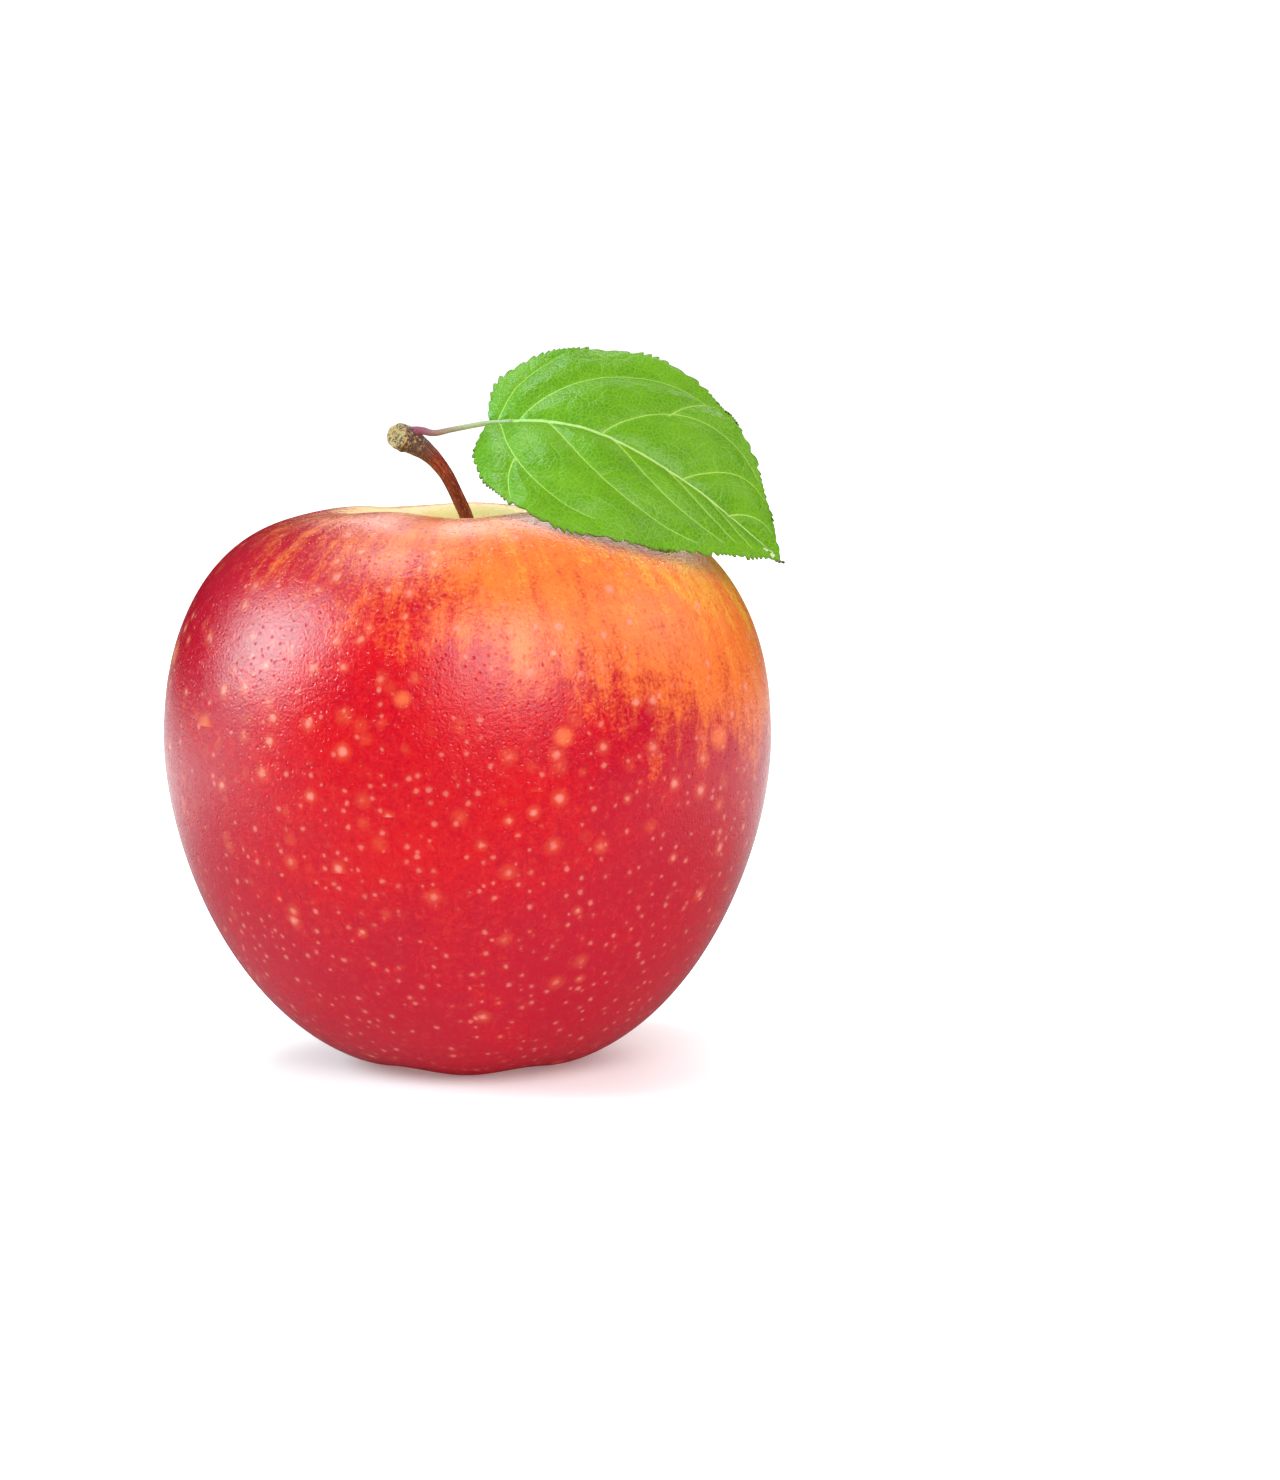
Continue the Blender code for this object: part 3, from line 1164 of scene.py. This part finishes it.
@dataclass
class Leaf:
    """The leaf: a toothed, quilted blade carried by three curves, with its stalk."""

    base: Place = (3.0, -6.0, 84.9)
    tip: Place = (41.0, -8.0, 66.9)
    middle_pull: tuple[Place, ...] = ((11.0, -10.5, 85.5), (17.0, -12.5, 86.0), (27.0, -17.0, 80.0))
    upper_pull: tuple[Place, ...] = ((0.5, 2.5, 97.0), (22.0, 1.0, 93.5), (34.5, 0.5, 100.5))
    lower_pull: tuple[Place, ...] = ((-5.5, -14.5, 75.0), (15.5, -40.0, 70.0), (25.0, -17.5, 68.5))
    length_steps: int = 300
    width_steps: int = 160
    thickness: float = 0.28
    bulge: float = 0.7
    quilt: float = 0.38
    quilt_spread: float = 1.6
    rib_half_width: Span = (0.36, 0.10)
    vein_groove: float = 0.10
    vein_groove_spread: float = 0.3
    rib_groove: float = 0.22
    rib_groove_spread: float = 0.7
    vein_ridge: float = 0.16
    rib_ridge: float = 0.5
    swell: float = 0.30
    swell_size: float = 9.0
    grain: float = 0.08
    grain_size: float = 1.6
    edge_wave: float = 0.25
    tooth_pitch: float = 1.45
    tooth_depth: float = 0.62
    tooth_reach: float = 0.45
    veins: tuple[tuple[Span, ...], ...] = (
        ((0.02, 0.0), (0.10, 0.56), (0.33, 0.86)),
        ((0.12, 0.0), (0.36, 0.64), (0.74, 0.84)),
        ((0.47, 0.0), (0.65, 0.56), (0.90, 0.84)),
        ((0.66, 0.46), (0.71, 0.74), (0.77, 0.94)),
        ((0.74, 0.0), (0.85, 0.45), (0.93, 0.85)),
        ((0.87, 0.0), (0.93, 0.35), (0.965, 0.6)),
        ((0.02, 0.0), (0.16, -0.62), (0.55, -0.82)),
        ((0.27, -0.60), (0.28, -0.80), (0.33, -0.94)),
        ((0.25, 0.0), (0.50, -0.40), (0.80, -0.82)),
        ((0.52, 0.0), (0.70, -0.30), (0.86, -0.70)),
        ((0.70, 0.0), (0.80, -0.20), (0.89, -0.60)),
        ((0.82, 0.0), (0.88, -0.20), (0.93, -0.55)),
    )
    stalk_places: tuple[Place, ...] = (
        (-7.2, -5.9, 83.5),
        (-5.8, -6.3, 83.7),
        (-4.2, -6.4, 83.4),
        (-2.0, -6.2, 83.8),
        (0.6, -6.1, 84.3),
        (3.0, -6.1, 84.7),
        (6.0, -7.5, 84.9),
    )
    stalk_radii: tuple[float, ...] = (0.75, 0.52, 0.42, 0.36, 0.34, 0.34, 0.2)

    def rails(self, along: np.ndarray) -> tuple[np.ndarray, ...]:
        """Points on the midrib, the upper edge and the lower edge."""
        pulls = (self.middle_pull, self.upper_pull, self.lower_pull)
        return tuple(bezier((self.base, *pull, self.tip), along) for pull in pulls)

    def surface(self, along: np.ndarray, across: np.ndarray) -> np.ndarray:
        """Points of the plain blade.

        Args:
            along: shares of the way to the tip, 0 to 1.
            across: shares of the way out, -1 on the lower edge to 1 on the upper.

        Returns:
            One row for each point.
        """
        middle, upper, lower = self.rails(along)
        edge = np.where((across > 0)[:, None], upper, lower)
        share = np.abs(across)[:, None]
        return middle + (edge - middle) * share

    def even_steps(self) -> np.ndarray:
        """Spaces the blade's rows evenly along its edges, so that every tooth has enough points.

        Returns:
            The rows' shares of the way to the tip.
        """
        shares = np.linspace(0.0, 1.0, 2001)
        run = sum(run_along(rail) for rail in self.rails(shares))
        return np.interp(np.linspace(0.0, run[-1], self.length_steps + 1), run, shares)

    def vein_distance(self, points: np.ndarray, normal: np.ndarray) -> tuple[np.ndarray, np.ndarray]:
        """How far each point is from the nearest side vein.

        Args:
            points: places on the blade in millimetres.
            normal: the blade's mean normal.

        Returns:
            The distance in millimetres, and the same divided by the vein's half width there, which is
            negative on the vein's right side.
        """
        steps = np.linspace(0.0, 1.0, 25)
        nearest = np.full(len(points), 1e9)
        ratio = np.full(len(points), 1e9)
        for vein in self.veins:
            run = bezier(vein, steps)
            line = self.surface(run[:, 0], run[:, 1])
            for start, end, share in zip(line, line[1:], steps):
                span = end - start
                along = np.clip(((points - start) @ span) / max(span @ span, 1e-9), 0.0, 1.0)
                offset = points - start - along[:, None] * span
                away = np.linalg.norm(offset, axis=1)
                signed = np.copysign(away, offset @ np.cross(normal, span)) / (0.13 - 0.08 * share)
                nearest = np.minimum(nearest, away)
                ratio = np.where(np.abs(signed) < np.abs(ratio), signed, ratio)
        return nearest, ratio

    def teeth(self, run: np.ndarray) -> tuple[np.ndarray, np.ndarray]:
        """A rounded saw of uneven teeth.

        Args:
            run: lengths along the edge in millimetres.

        Returns:
            The saw's height and its lean towards the tip, at each length.
        """
        pitch = self.tooth_pitch * (1.0 + 0.12 * np.sin(run / 4.3) + 0.08 * np.sin(run / 1.9 + 1.0))
        phase = np.mod(run / pitch, 1.0)
        rise = np.where(phase < 0.72, np.sin(0.5 * math.pi * phase / 0.72), 1.0 - ease(phase, 0.72, 1.0))
        size = 0.75 + 0.25 * np.sin(run * 0.9 + 2.0)
        return self.tooth_depth * (size * rise - 0.6), 0.5 * self.tooth_depth * size * rise

    def shaped(self) -> dict[str, np.ndarray]:
        """Quilts the blade between its veins and cuts its teeth.

        Returns:
            The points of its upper face and what the material reads at each, row by row.
        """
        along = self.even_steps()
        across = np.linspace(-1.0, 1.0, self.width_steps + 1)
        across = np.sign(across) * np.abs(across) ** 0.85
        rows, columns = len(along), len(across)
        t = np.repeat(along, columns)
        u = np.tile(across, rows)
        plain = self.surface(t, u)
        middle, upper, lower = self.rails(t)
        ahead = np.gradient(plain.reshape(rows, columns, 3), axis=0)
        sideways = np.gradient(plain.reshape(rows, columns, 3), axis=1)
        normal = np.cross(ahead, sideways)
        normal[0] = normal[1]
        normal[-1] = normal[-2]
        normal = unit(normal).reshape(-1, 3)
        width = np.minimum(1.0, np.linalg.norm(upper - lower, axis=1) / 20.0)
        away, ratio = self.vein_distance(plain, normal.mean(axis=0))
        rib_away = np.linalg.norm(plain - middle, axis=1)
        rib_half = self.rib_half_width[0] + (self.rib_half_width[1] - self.rib_half_width[0]) * t
        nearest = np.minimum(away, rib_away)
        margin = np.minimum(np.linalg.norm(plain - upper, axis=1), np.linalg.norm(plain - lower, axis=1))
        height = self.bulge * width * np.sin(math.pi * np.abs(u))
        height += self.quilt * width * (1.0 - bell(nearest, self.quilt_spread))
        height -= self.vein_groove * bell(away, self.vein_groove_spread)
        height -= self.rib_groove * bell(rib_away, self.rib_groove_spread)
        height += self.swell * width * rough_field(plain, self.swell_size, 2.0)
        height += self.grain * rough_field(plain, self.grain_size, 7.0)
        edge_share = ease(1.0 - np.abs(u), 0.35, 0.0)
        height += self.edge_wave * edge_share * width * np.sin(0.5 * plain[:, 0] + 2.0 * np.sign(u))
        points = plain + height[:, None] * normal
        points += self.tooth_push(plain.reshape(rows, columns, 3))
        forth = unit(np.array(self.tip) - np.array(self.base))
        sideward = unit(np.cross(normal.mean(axis=0), forth))
        blade = np.stack([plain @ forth, plain @ sideward, 0.0 * t], axis=1)
        return {
            "points": points,
            "vein": np.abs(ratio),
            "vein_side": np.clip(ratio, -9.0, 9.0),
            "rib": rib_away / rib_half,
            "margin": margin,
            "blade": blade,
        }

    def tooth_push(self, grid: np.ndarray) -> np.ndarray:
        """How far the teeth draw each point of the blade outwards and towards the tip.

        Args:
            grid: the plain blade's points, by row and column.

        Returns:
            One move for each point, row by row.
        """
        columns = grid.shape[1]
        lower, upper = slice(0, columns // 2), slice(columns // 2 + 1, columns)
        push = np.zeros(grid.shape)
        for half, outer, inner in ((lower, 0, 1), (upper, -1, -2)):
            edge = grid[:, outer]
            step = np.gradient(edge, axis=0)
            run = run_along(edge)
            tangent = step / np.maximum(np.linalg.norm(step, axis=1), 1e-6)[:, None]
            outward = edge - grid[:, inner]
            outward -= (outward * tangent).sum(axis=1)[:, None] * tangent
            outward /= np.maximum(np.linalg.norm(outward, axis=1), 1e-6)[:, None]
            rise, lean = self.teeth(run)
            fade = ease(run, 0.5, 3.0) * ease(run[-1] - run, 0.3, 2.5)
            move = (rise * fade)[:, None] * outward + (lean * fade)[:, None] * tangent
            inset = np.linalg.norm(grid[:, half] - edge[:, None], axis=2)
            push[:, half] = move[:, None] * np.exp(-inset / self.tooth_reach)[..., None]
        return push.reshape(-1, 3)

    def blade(self) -> bpy.types.Object:
        """Builds the blade from a grid, and gives it its thickness and raised veins underneath.

        Returns:
            The blade, with the finishes of its two faces.
        """
        deselect_all()
        bpy.ops.mesh.primitive_grid_add(
            x_subdivisions=self.length_steps, y_subdivisions=self.width_steps, size=2.0
        )
        piece = bpy.context.object
        flat = points_of(piece) * MM
        row = np.rint((flat[:, 0] + 1.0) / 2.0 * self.length_steps).astype(int)
        column = np.rint((flat[:, 1] + 1.0) / 2.0 * self.width_steps).astype(int)
        pick = row * (self.width_steps + 1) + column
        shape = self.shaped()
        set_points(piece, shape["points"][pick])
        for name in ("vein", "vein_side", "rib", "margin"):
            keep_number(piece, name, shape[name][pick])
        keep_vector(piece, "blade", shape["blade"][pick])
        bpy.ops.object.mode_set(mode="EDIT")
        bpy.ops.mesh.select_all(action="SELECT")
        bpy.ops.mesh.remove_doubles(threshold=0.02 * MM)
        bpy.ops.object.mode_set(mode="OBJECT")
        for facing in Facing:
            piece.data.materials.append(self.finish(facing).material())
        count = len(piece.data.vertices)
        thickened(piece, self.thickness, Facing.LOWER.value)
        self.raise_veins(piece, count)
        return piece

    def finish(self, facing: Facing) -> LeafFinish:
        """The finish of one face of the blade.

        Args:
            facing: which face.

        Returns:
            Its finish.
        """
        if facing is Facing.UPPER:
            return LeafFinish()
        return LeafFinish(
            name="leaf_lower",
            green=(0.31, 0.47, 0.14),
            deep=(0.25, 0.41, 0.11),
            veinlet=(0.38, 0.53, 0.20),
            vein=(0.50, 0.62, 0.30),
            rib=(0.55, 0.66, 0.34),
            edge=(0.14, 0.20, 0.05),
            roughness=0.65,
            vein_rise=0.5,
        )

    def raise_veins(self, piece: bpy.types.Object, count: int) -> None:
        """Draws the veins out of the blade's lower face.

        Args:
            piece: the blade, whose lower face's points come after the upper face's.
            count: how many points the upper face has.
        """
        points = points_of(piece)
        normals = normals_of(piece)
        values = {}
        for name in ("vein", "rib"):
            values[name] = np.empty(len(points))
            piece.data.attributes[name].data.foreach_get("value", values[name])
        lower = np.arange(len(points)) >= count
        rise = self.vein_ridge * bell(values["vein"], 1.3) + self.rib_ridge * bell(values["rib"], 0.9)
        points[lower] += (rise[:, None] * normals)[lower]
        set_points(piece, points)

    def build(self) -> bpy.types.Object:
        """Builds the leaf: the blade and the stalk, joined as they grew.

        Returns:
            The finished piece.
        """
        stalk = tube(self.stalk_places, self.stalk_radii, 4, 8)
        stalk.data.materials.append(StalkFinish().material())
        blade = self.blade()
        deselect_all()
        stalk.select_set(True)
        blade.select_set(True)
        bpy.context.view_layer.objects.active = blade
        bpy.ops.object.join()
        finish_object(blade, "apple_leaf")
        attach(blade, BODY)
        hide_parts("leaf")
        return blade


@dataclass
class Calyx:
    """The dried remains of the flower in the basin: sepals, stamens and style."""

    sepals: int = 5
    stamens: int = 10
    turn: float = math.radians(-90)
    sepal_path: tuple[Ring, ...] = ((2.3, 10.4), (2.4, 7.6), (2.9, 5.4), (4.2, 3.6), (5.6, 3.2))
    sepal_blur: float = 0.08
    sepal_width: float = 2.3
    sepal_taper: float = 0.88
    sepal_cup: float = 0.4
    sepal_curl: float = 0.35
    sepal_wrinkle: float = 0.12
    sepal_thickness: float = 0.28
    stamen_path: tuple[Ring, ...] = ((1.45, 11.8), (1.5, 9.0), (1.3, 6.4), (1.6, 4.6))
    stamen_radii: tuple[float, ...] = (0.22, 0.16, 0.13, 0.2)
    style_places: tuple[Place, ...] = ((0.0, 0.0, 13.0), (0.05, 0.0, 9.4), (-0.1, 0.0, 7.2), (0.15, 0.0, 5.2))
    style_radii: tuple[float, ...] = (0.6, 0.42, 0.36, 0.5)
    style_wrinkle: float = 0.06

    def spine(self, share: np.ndarray) -> np.ndarray:
        """Rounds a sepal's path off.

        Args:
            share: how far along, from 0 at its root to 1 at its point.

        Returns:
            Radius and height at each share.
        """
        stops = np.linspace(0.0, 1.0, len(self.sepal_path))
        shares = [np.clip(share + shift, 0.0, 1.0) for shift in (-self.sepal_blur, 0.0, self.sepal_blur)]
        lines = zip(*self.sepal_path)
        return np.stack([sum(np.interp(near, stops, line) for near in shares) / 3 for line in lines], axis=1)

    def sepal(self, index: int, material: bpy.types.Material) -> bpy.types.Object:
        """Builds one dried sepal: a narrow cupped blade that curls outwards at its point.

        Args:
            index: its place in the ring.
            material: the sepals' material.

        Returns:
            The finished piece.
        """
        azimuth = self.turn + math.tau * (index + 0.5) / self.sepals
        deselect_all()
        bpy.ops.mesh.primitive_grid_add(x_subdivisions=18, y_subdivisions=8, size=2.0)
        piece = bpy.context.object
        flat = points_of(piece) * MM
        share = (flat[:, 0] + 1.0) / 2.0
        across = flat[:, 1]
        radius, height = self.spine(share).T
        half_width = 0.5 * self.sepal_width * (1.0 - self.sepal_taper * share**1.6)
        curl = self.sepal_curl * np.sin(7.0 * share + 1.7 * index) * share
        offset = half_width * across + curl
        radius = radius - self.sepal_cup * across**2 * half_width
        out = np.array([math.cos(azimuth), math.sin(azimuth), 0.0])
        side = np.array([-math.sin(azimuth), math.cos(azimuth), 0.0])
        points = radius[:, None] * out + offset[:, None] * side
        points[:, 2] = height
        points += self.sepal_wrinkle * rough_field(points, 1.1, 4.0 + index)[:, None] * out
        set_points(piece, points)
        thickened(piece, self.sepal_thickness)
        smoothed(piece, 1)
        finish_object(piece, f"apple_sepal_{index + 1}")
        self.place(piece, material, f"sepal_{index + 1}", "dried_calyx")
        return piece

    def stamen(self, index: int, material: bpy.types.Material) -> bpy.types.Object:
        """Builds one dried, bent filament.

        Args:
            index: its place in the ring.
            material: the filaments' material.

        Returns:
            The finished piece.
        """
        azimuth = math.tau * (index + 0.5) / self.stamens
        places = []
        for step, (radius, height) in enumerate(self.stamen_path):
            bend = azimuth + 0.12 * step * math.sin(2.4 * index)
            places.append((radius * math.cos(bend), radius * math.sin(bend), height))
        piece = tube(places, self.stamen_radii, 2, 4)
        finish_object(piece, f"apple_stamen_{index + 1:02d}")
        self.place(piece, material, f"stamen_{index + 1:02d}", "dried_filament")
        return piece

    def style(self, material: bpy.types.Material) -> bpy.types.Object:
        """Builds the dried column in the middle.

        Args:
            material: the filaments' material.

        Returns:
            The finished piece.
        """
        piece = tube(self.style_places, self.style_radii, 4, 6)
        points = points_of(piece)
        normals = normals_of(piece)
        set_points(piece, points + self.style_wrinkle * rough_field(points, 0.5, 6.0)[:, None] * normals)
        finish_object(piece, "apple_style")
        self.place(piece, material, "style", "dried_filament")
        return piece

    def place(self, piece: bpy.types.Object, material: bpy.types.Material, node: str, slot: str) -> None:
        """Dresses a piece and puts it in the frame.

        Args:
            piece: the mesh object.
            material: what it is made of.
            node: the node that it takes the place of.
            slot: its material slot; not used.
        """
        piece.data.materials.append(material)
        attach(piece, BODY)
        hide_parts(node)

    def build(self) -> list[bpy.types.Object]:
        """Builds all the dried pieces.

        Returns:
            The sepals, the stamens and the style.
        """
        leafy = DriedFinish(
            name="dried_sepal",
            dark=(0.05, 0.035, 0.022),
            light=(0.22, 0.17, 0.12),
            base=(0.36, 0.38, 0.08),
            base_height=9.5,
        ).material()
        thread = DriedFinish(
            name="dried_filament",
            dark=(0.035, 0.02, 0.012),
            light=(0.16, 0.10, 0.06),
            base=(0.20, 0.14, 0.05),
            base_height=11.5,
        ).material()
        pieces = [self.sepal(index, leafy) for index in range(self.sepals)]
        pieces += [self.stamen(index, thread) for index in range(self.stamens)]
        pieces.append(self.style(thread))
        return pieces


# --------------------------------------------------------------------------------------------- studio


def stand_off(azimuth: float, elevation: float) -> Vector:
    """The direction in which a light or the camera stands off from the fruit.

    Args:
        azimuth: degrees to the viewer's right from the front.
        elevation: degrees above the table.

    Returns:
        The direction at a length of 1.
    """
    turn, lift = math.radians(azimuth), math.radians(elevation)
    return Vector((math.sin(turn) * math.cos(lift), -math.cos(turn) * math.cos(lift), math.sin(lift)))


def hang(thing: bpy.types.Object, place: Vector, back: Vector) -> None:
    """Puts a light or the camera in the room.

    Args:
        thing: the new object.
        place: where it is, in metres.
        back: the direction that its back points in.
    """
    thing.location = place
    thing.rotation_mode = "QUATERNION"
    thing.rotation_quaternion = back.to_track_quat("Z", "Y")
    bpy.context.scene.collection.objects.link(thing)


@dataclass(frozen=True)
class SoftBox:
    """A soft rectangular light that faces the fruit."""

    name: str
    azimuth: float
    elevation: float
    distance: float
    width: float
    height: float
    glow: float
    tint: Colour

    def build(self, aim: Vector) -> bpy.types.Object:
        """Makes the light.

        Args:
            aim: the place in metres that the light faces.

        Returns:
            The light's object.
        """
        back = stand_off(self.azimuth, self.elevation)
        light = bpy.data.lights.new(self.name, "AREA")
        light.shape = "RECTANGLE"
        light.size = self.width * MM
        light.size_y = self.height * MM
        light.color = self.tint
        light.energy = self.glow * math.pi * light.size * light.size_y
        lamp = bpy.data.objects.new(self.name, light)
        hang(lamp, aim + back * self.distance * MM, back)
        return lamp


@dataclass
class Studio:
    """The pale floor, the soft lights and the camera."""

    aim: Place = (22.6, 0.0, 42.7)
    camera_distance: float = 500.0
    camera_elevation: float = 6.0
    focal_length: float = 91.8
    sensor: float = 36.0
    floor_size: float = 6000.0
    floor_dark: Colour = (0.90, 0.90, 0.90)
    floor_light: Colour = (0.92, 0.92, 0.92)
    light_aim: Place = (0.0, 0.0, 40.0)
    fill: float = 0.5
    backdrop: float = 1.2
    mirrored_room: Ramp = (0.1, 0.7, 0.02, 0.15)
    mirrored_floor: Ramp = (60.0, 260.0, 0.22, 0.85)
    mirrored_front: Ramp = (-140.0, -10.0, 0.04, 1.0)
    seen_glow: Ramp = (25.0, 80.0, 0.17, 1.1)
    cast_glow: Ramp = (90.0, 40.0, 0.0, 0.42)
    boxes: tuple[SoftBox, ...] = (
        SoftBox("left_box", -87.0, 24.5, 650.0, 320.0, 370.0, 10.4, (0.55, 0.96, 1.0)),
        SoftBox("front_box", 19.0, 30.0, 700.0, 600.0, 500.0, 4.3, (0.97, 0.98, 1.0)),
        SoftBox("back_box", 170.0, 38.0, 700.0, 520.0, 320.0, 3.0, (1.0, 1.0, 1.0)),
        SoftBox("high_box", -120.0, 68.0, 700.0, 300.0, 220.0, 6.5, (0.85, 0.96, 1.0)),
        SoftBox("right_box", 92.0, 34.0, 700.0, 240.0, 300.0, 2.2, (1.0, 1.0, 1.0)),
    )

    def floor(self) -> bpy.types.Object:
        """Builds the floor: a wide sheet with a soft edge, far larger than the fruit.

        Returns:
            The floor.
        """
        deselect_all()
        bpy.ops.mesh.primitive_circle_add(vertices=96, radius=0.5 * self.floor_size * MM, fill_type="NGON")
        piece = bpy.context.object
        bpy.ops.object.mode_set(mode="EDIT")
        bpy.ops.mesh.select_all(action="SELECT")
        bpy.ops.mesh.inset(thickness=0.02 * self.floor_size * MM)
        bpy.ops.object.mode_set(mode="OBJECT")
        finish_object(piece, "floor")
        piece.data.materials.append(self.floor_material())
        return piece

    def floor_material(self) -> bpy.types.Material:
        """A matt, faintly glowing white that the fruit mirrors as a dark room.

        Returns:
            The floor's material.
        """
        board = Finish("pale_floor")
        shade = board.blend(board.place.noise(0.01, 2.0, 0.5), self.floor_dark, self.floor_light)
        board.feed(board.shader.inputs["Base Color"], shade)
        board.set("Roughness", 0.9)
        board.set("Specular IOR Level", 0.1)
        board.set("Emission Color", WHITE)
        away = board.place.distance((0.0, 0.0, 0.0))
        seen = board.ray(Ray.CAMERA)
        glow = away.step(*self.seen_glow) * seen + away.step(*self.cast_glow) * (1.0 - seen)
        board.feed(board.shader.inputs["Emission Strength"], glow)
        level = away.step(*self.mirrored_floor) * board.place.parts()[1].step(*self.mirrored_front)
        dark = board.node("BsdfDiffuse", board.vector(level, level, level))
        pale, dull = board.output(board.shader, "BSDF"), board.output(dark, "BSDF")
        mix = board.node("MixShader", board.ray(Ray.GLOSSY), pale, dull)
        board.feed(board.tree.nodes["Material Output"].inputs["Surface"], board.output(mix, "Shader"))
        return board.material

    def world(self) -> None:
        """Lights the room evenly; it mirrors dark in front and bright behind, and looks white."""
        world = bpy.data.worlds.new("studio")
        bpy.context.scene.world = world
        world.use_nodes = True
        board = Board(world.node_tree)
        height = board.output(board.node("TexCoord"), "Generated").parts()[2]
        lit = board.mixed(board.ray(Ray.GLOSSY), self.fill, height.step(*self.mirrored_room))
        room = board.tree.nodes["Background"]
        room.inputs["Color"].default_value = WHITE
        board.feed(room.inputs["Strength"], board.mixed(board.ray(Ray.CAMERA), lit, self.backdrop))

    def camera(self) -> bpy.types.Object:
        """Makes the camera, in front of the fruit and a little above it.

        Returns:
            The camera's object.
        """
        back = stand_off(0.0, self.camera_elevation)
        lens = bpy.data.cameras.new("camera")
        lens.lens = self.focal_length
        lens.sensor_width = self.sensor
        lens.clip_start = 0.01
        lens.clip_end = 50.0
        camera = bpy.data.objects.new("camera", lens)
        hang(camera, MM * (Vector(self.aim) + back * self.camera_distance), back)
        bpy.context.scene.camera = camera
        return camera

    def build(self) -> None:
        """Sets the floor, the room, the lights and the camera."""
        self.floor()
        self.world()
        for box in self.boxes:
            box.build(MM * Vector(self.light_aim))
        self.camera()
        bpy.context.scene.view_settings.view_transform = "Standard"


def main() -> None:
    """Builds the studio and every piece of the apple, and reports each piece."""
    logging.basicConfig(level=logging.INFO, format="%(message)s")
    Studio().build()
    pieces = [Fruit().build(), Stem().build(), Leaf().build(), *Calyx().build()]
    for piece in pieces:
        log.info("%s: %d faces", piece.name, len(piece.data.polygons))


if __name__ == "__main__":
    main()
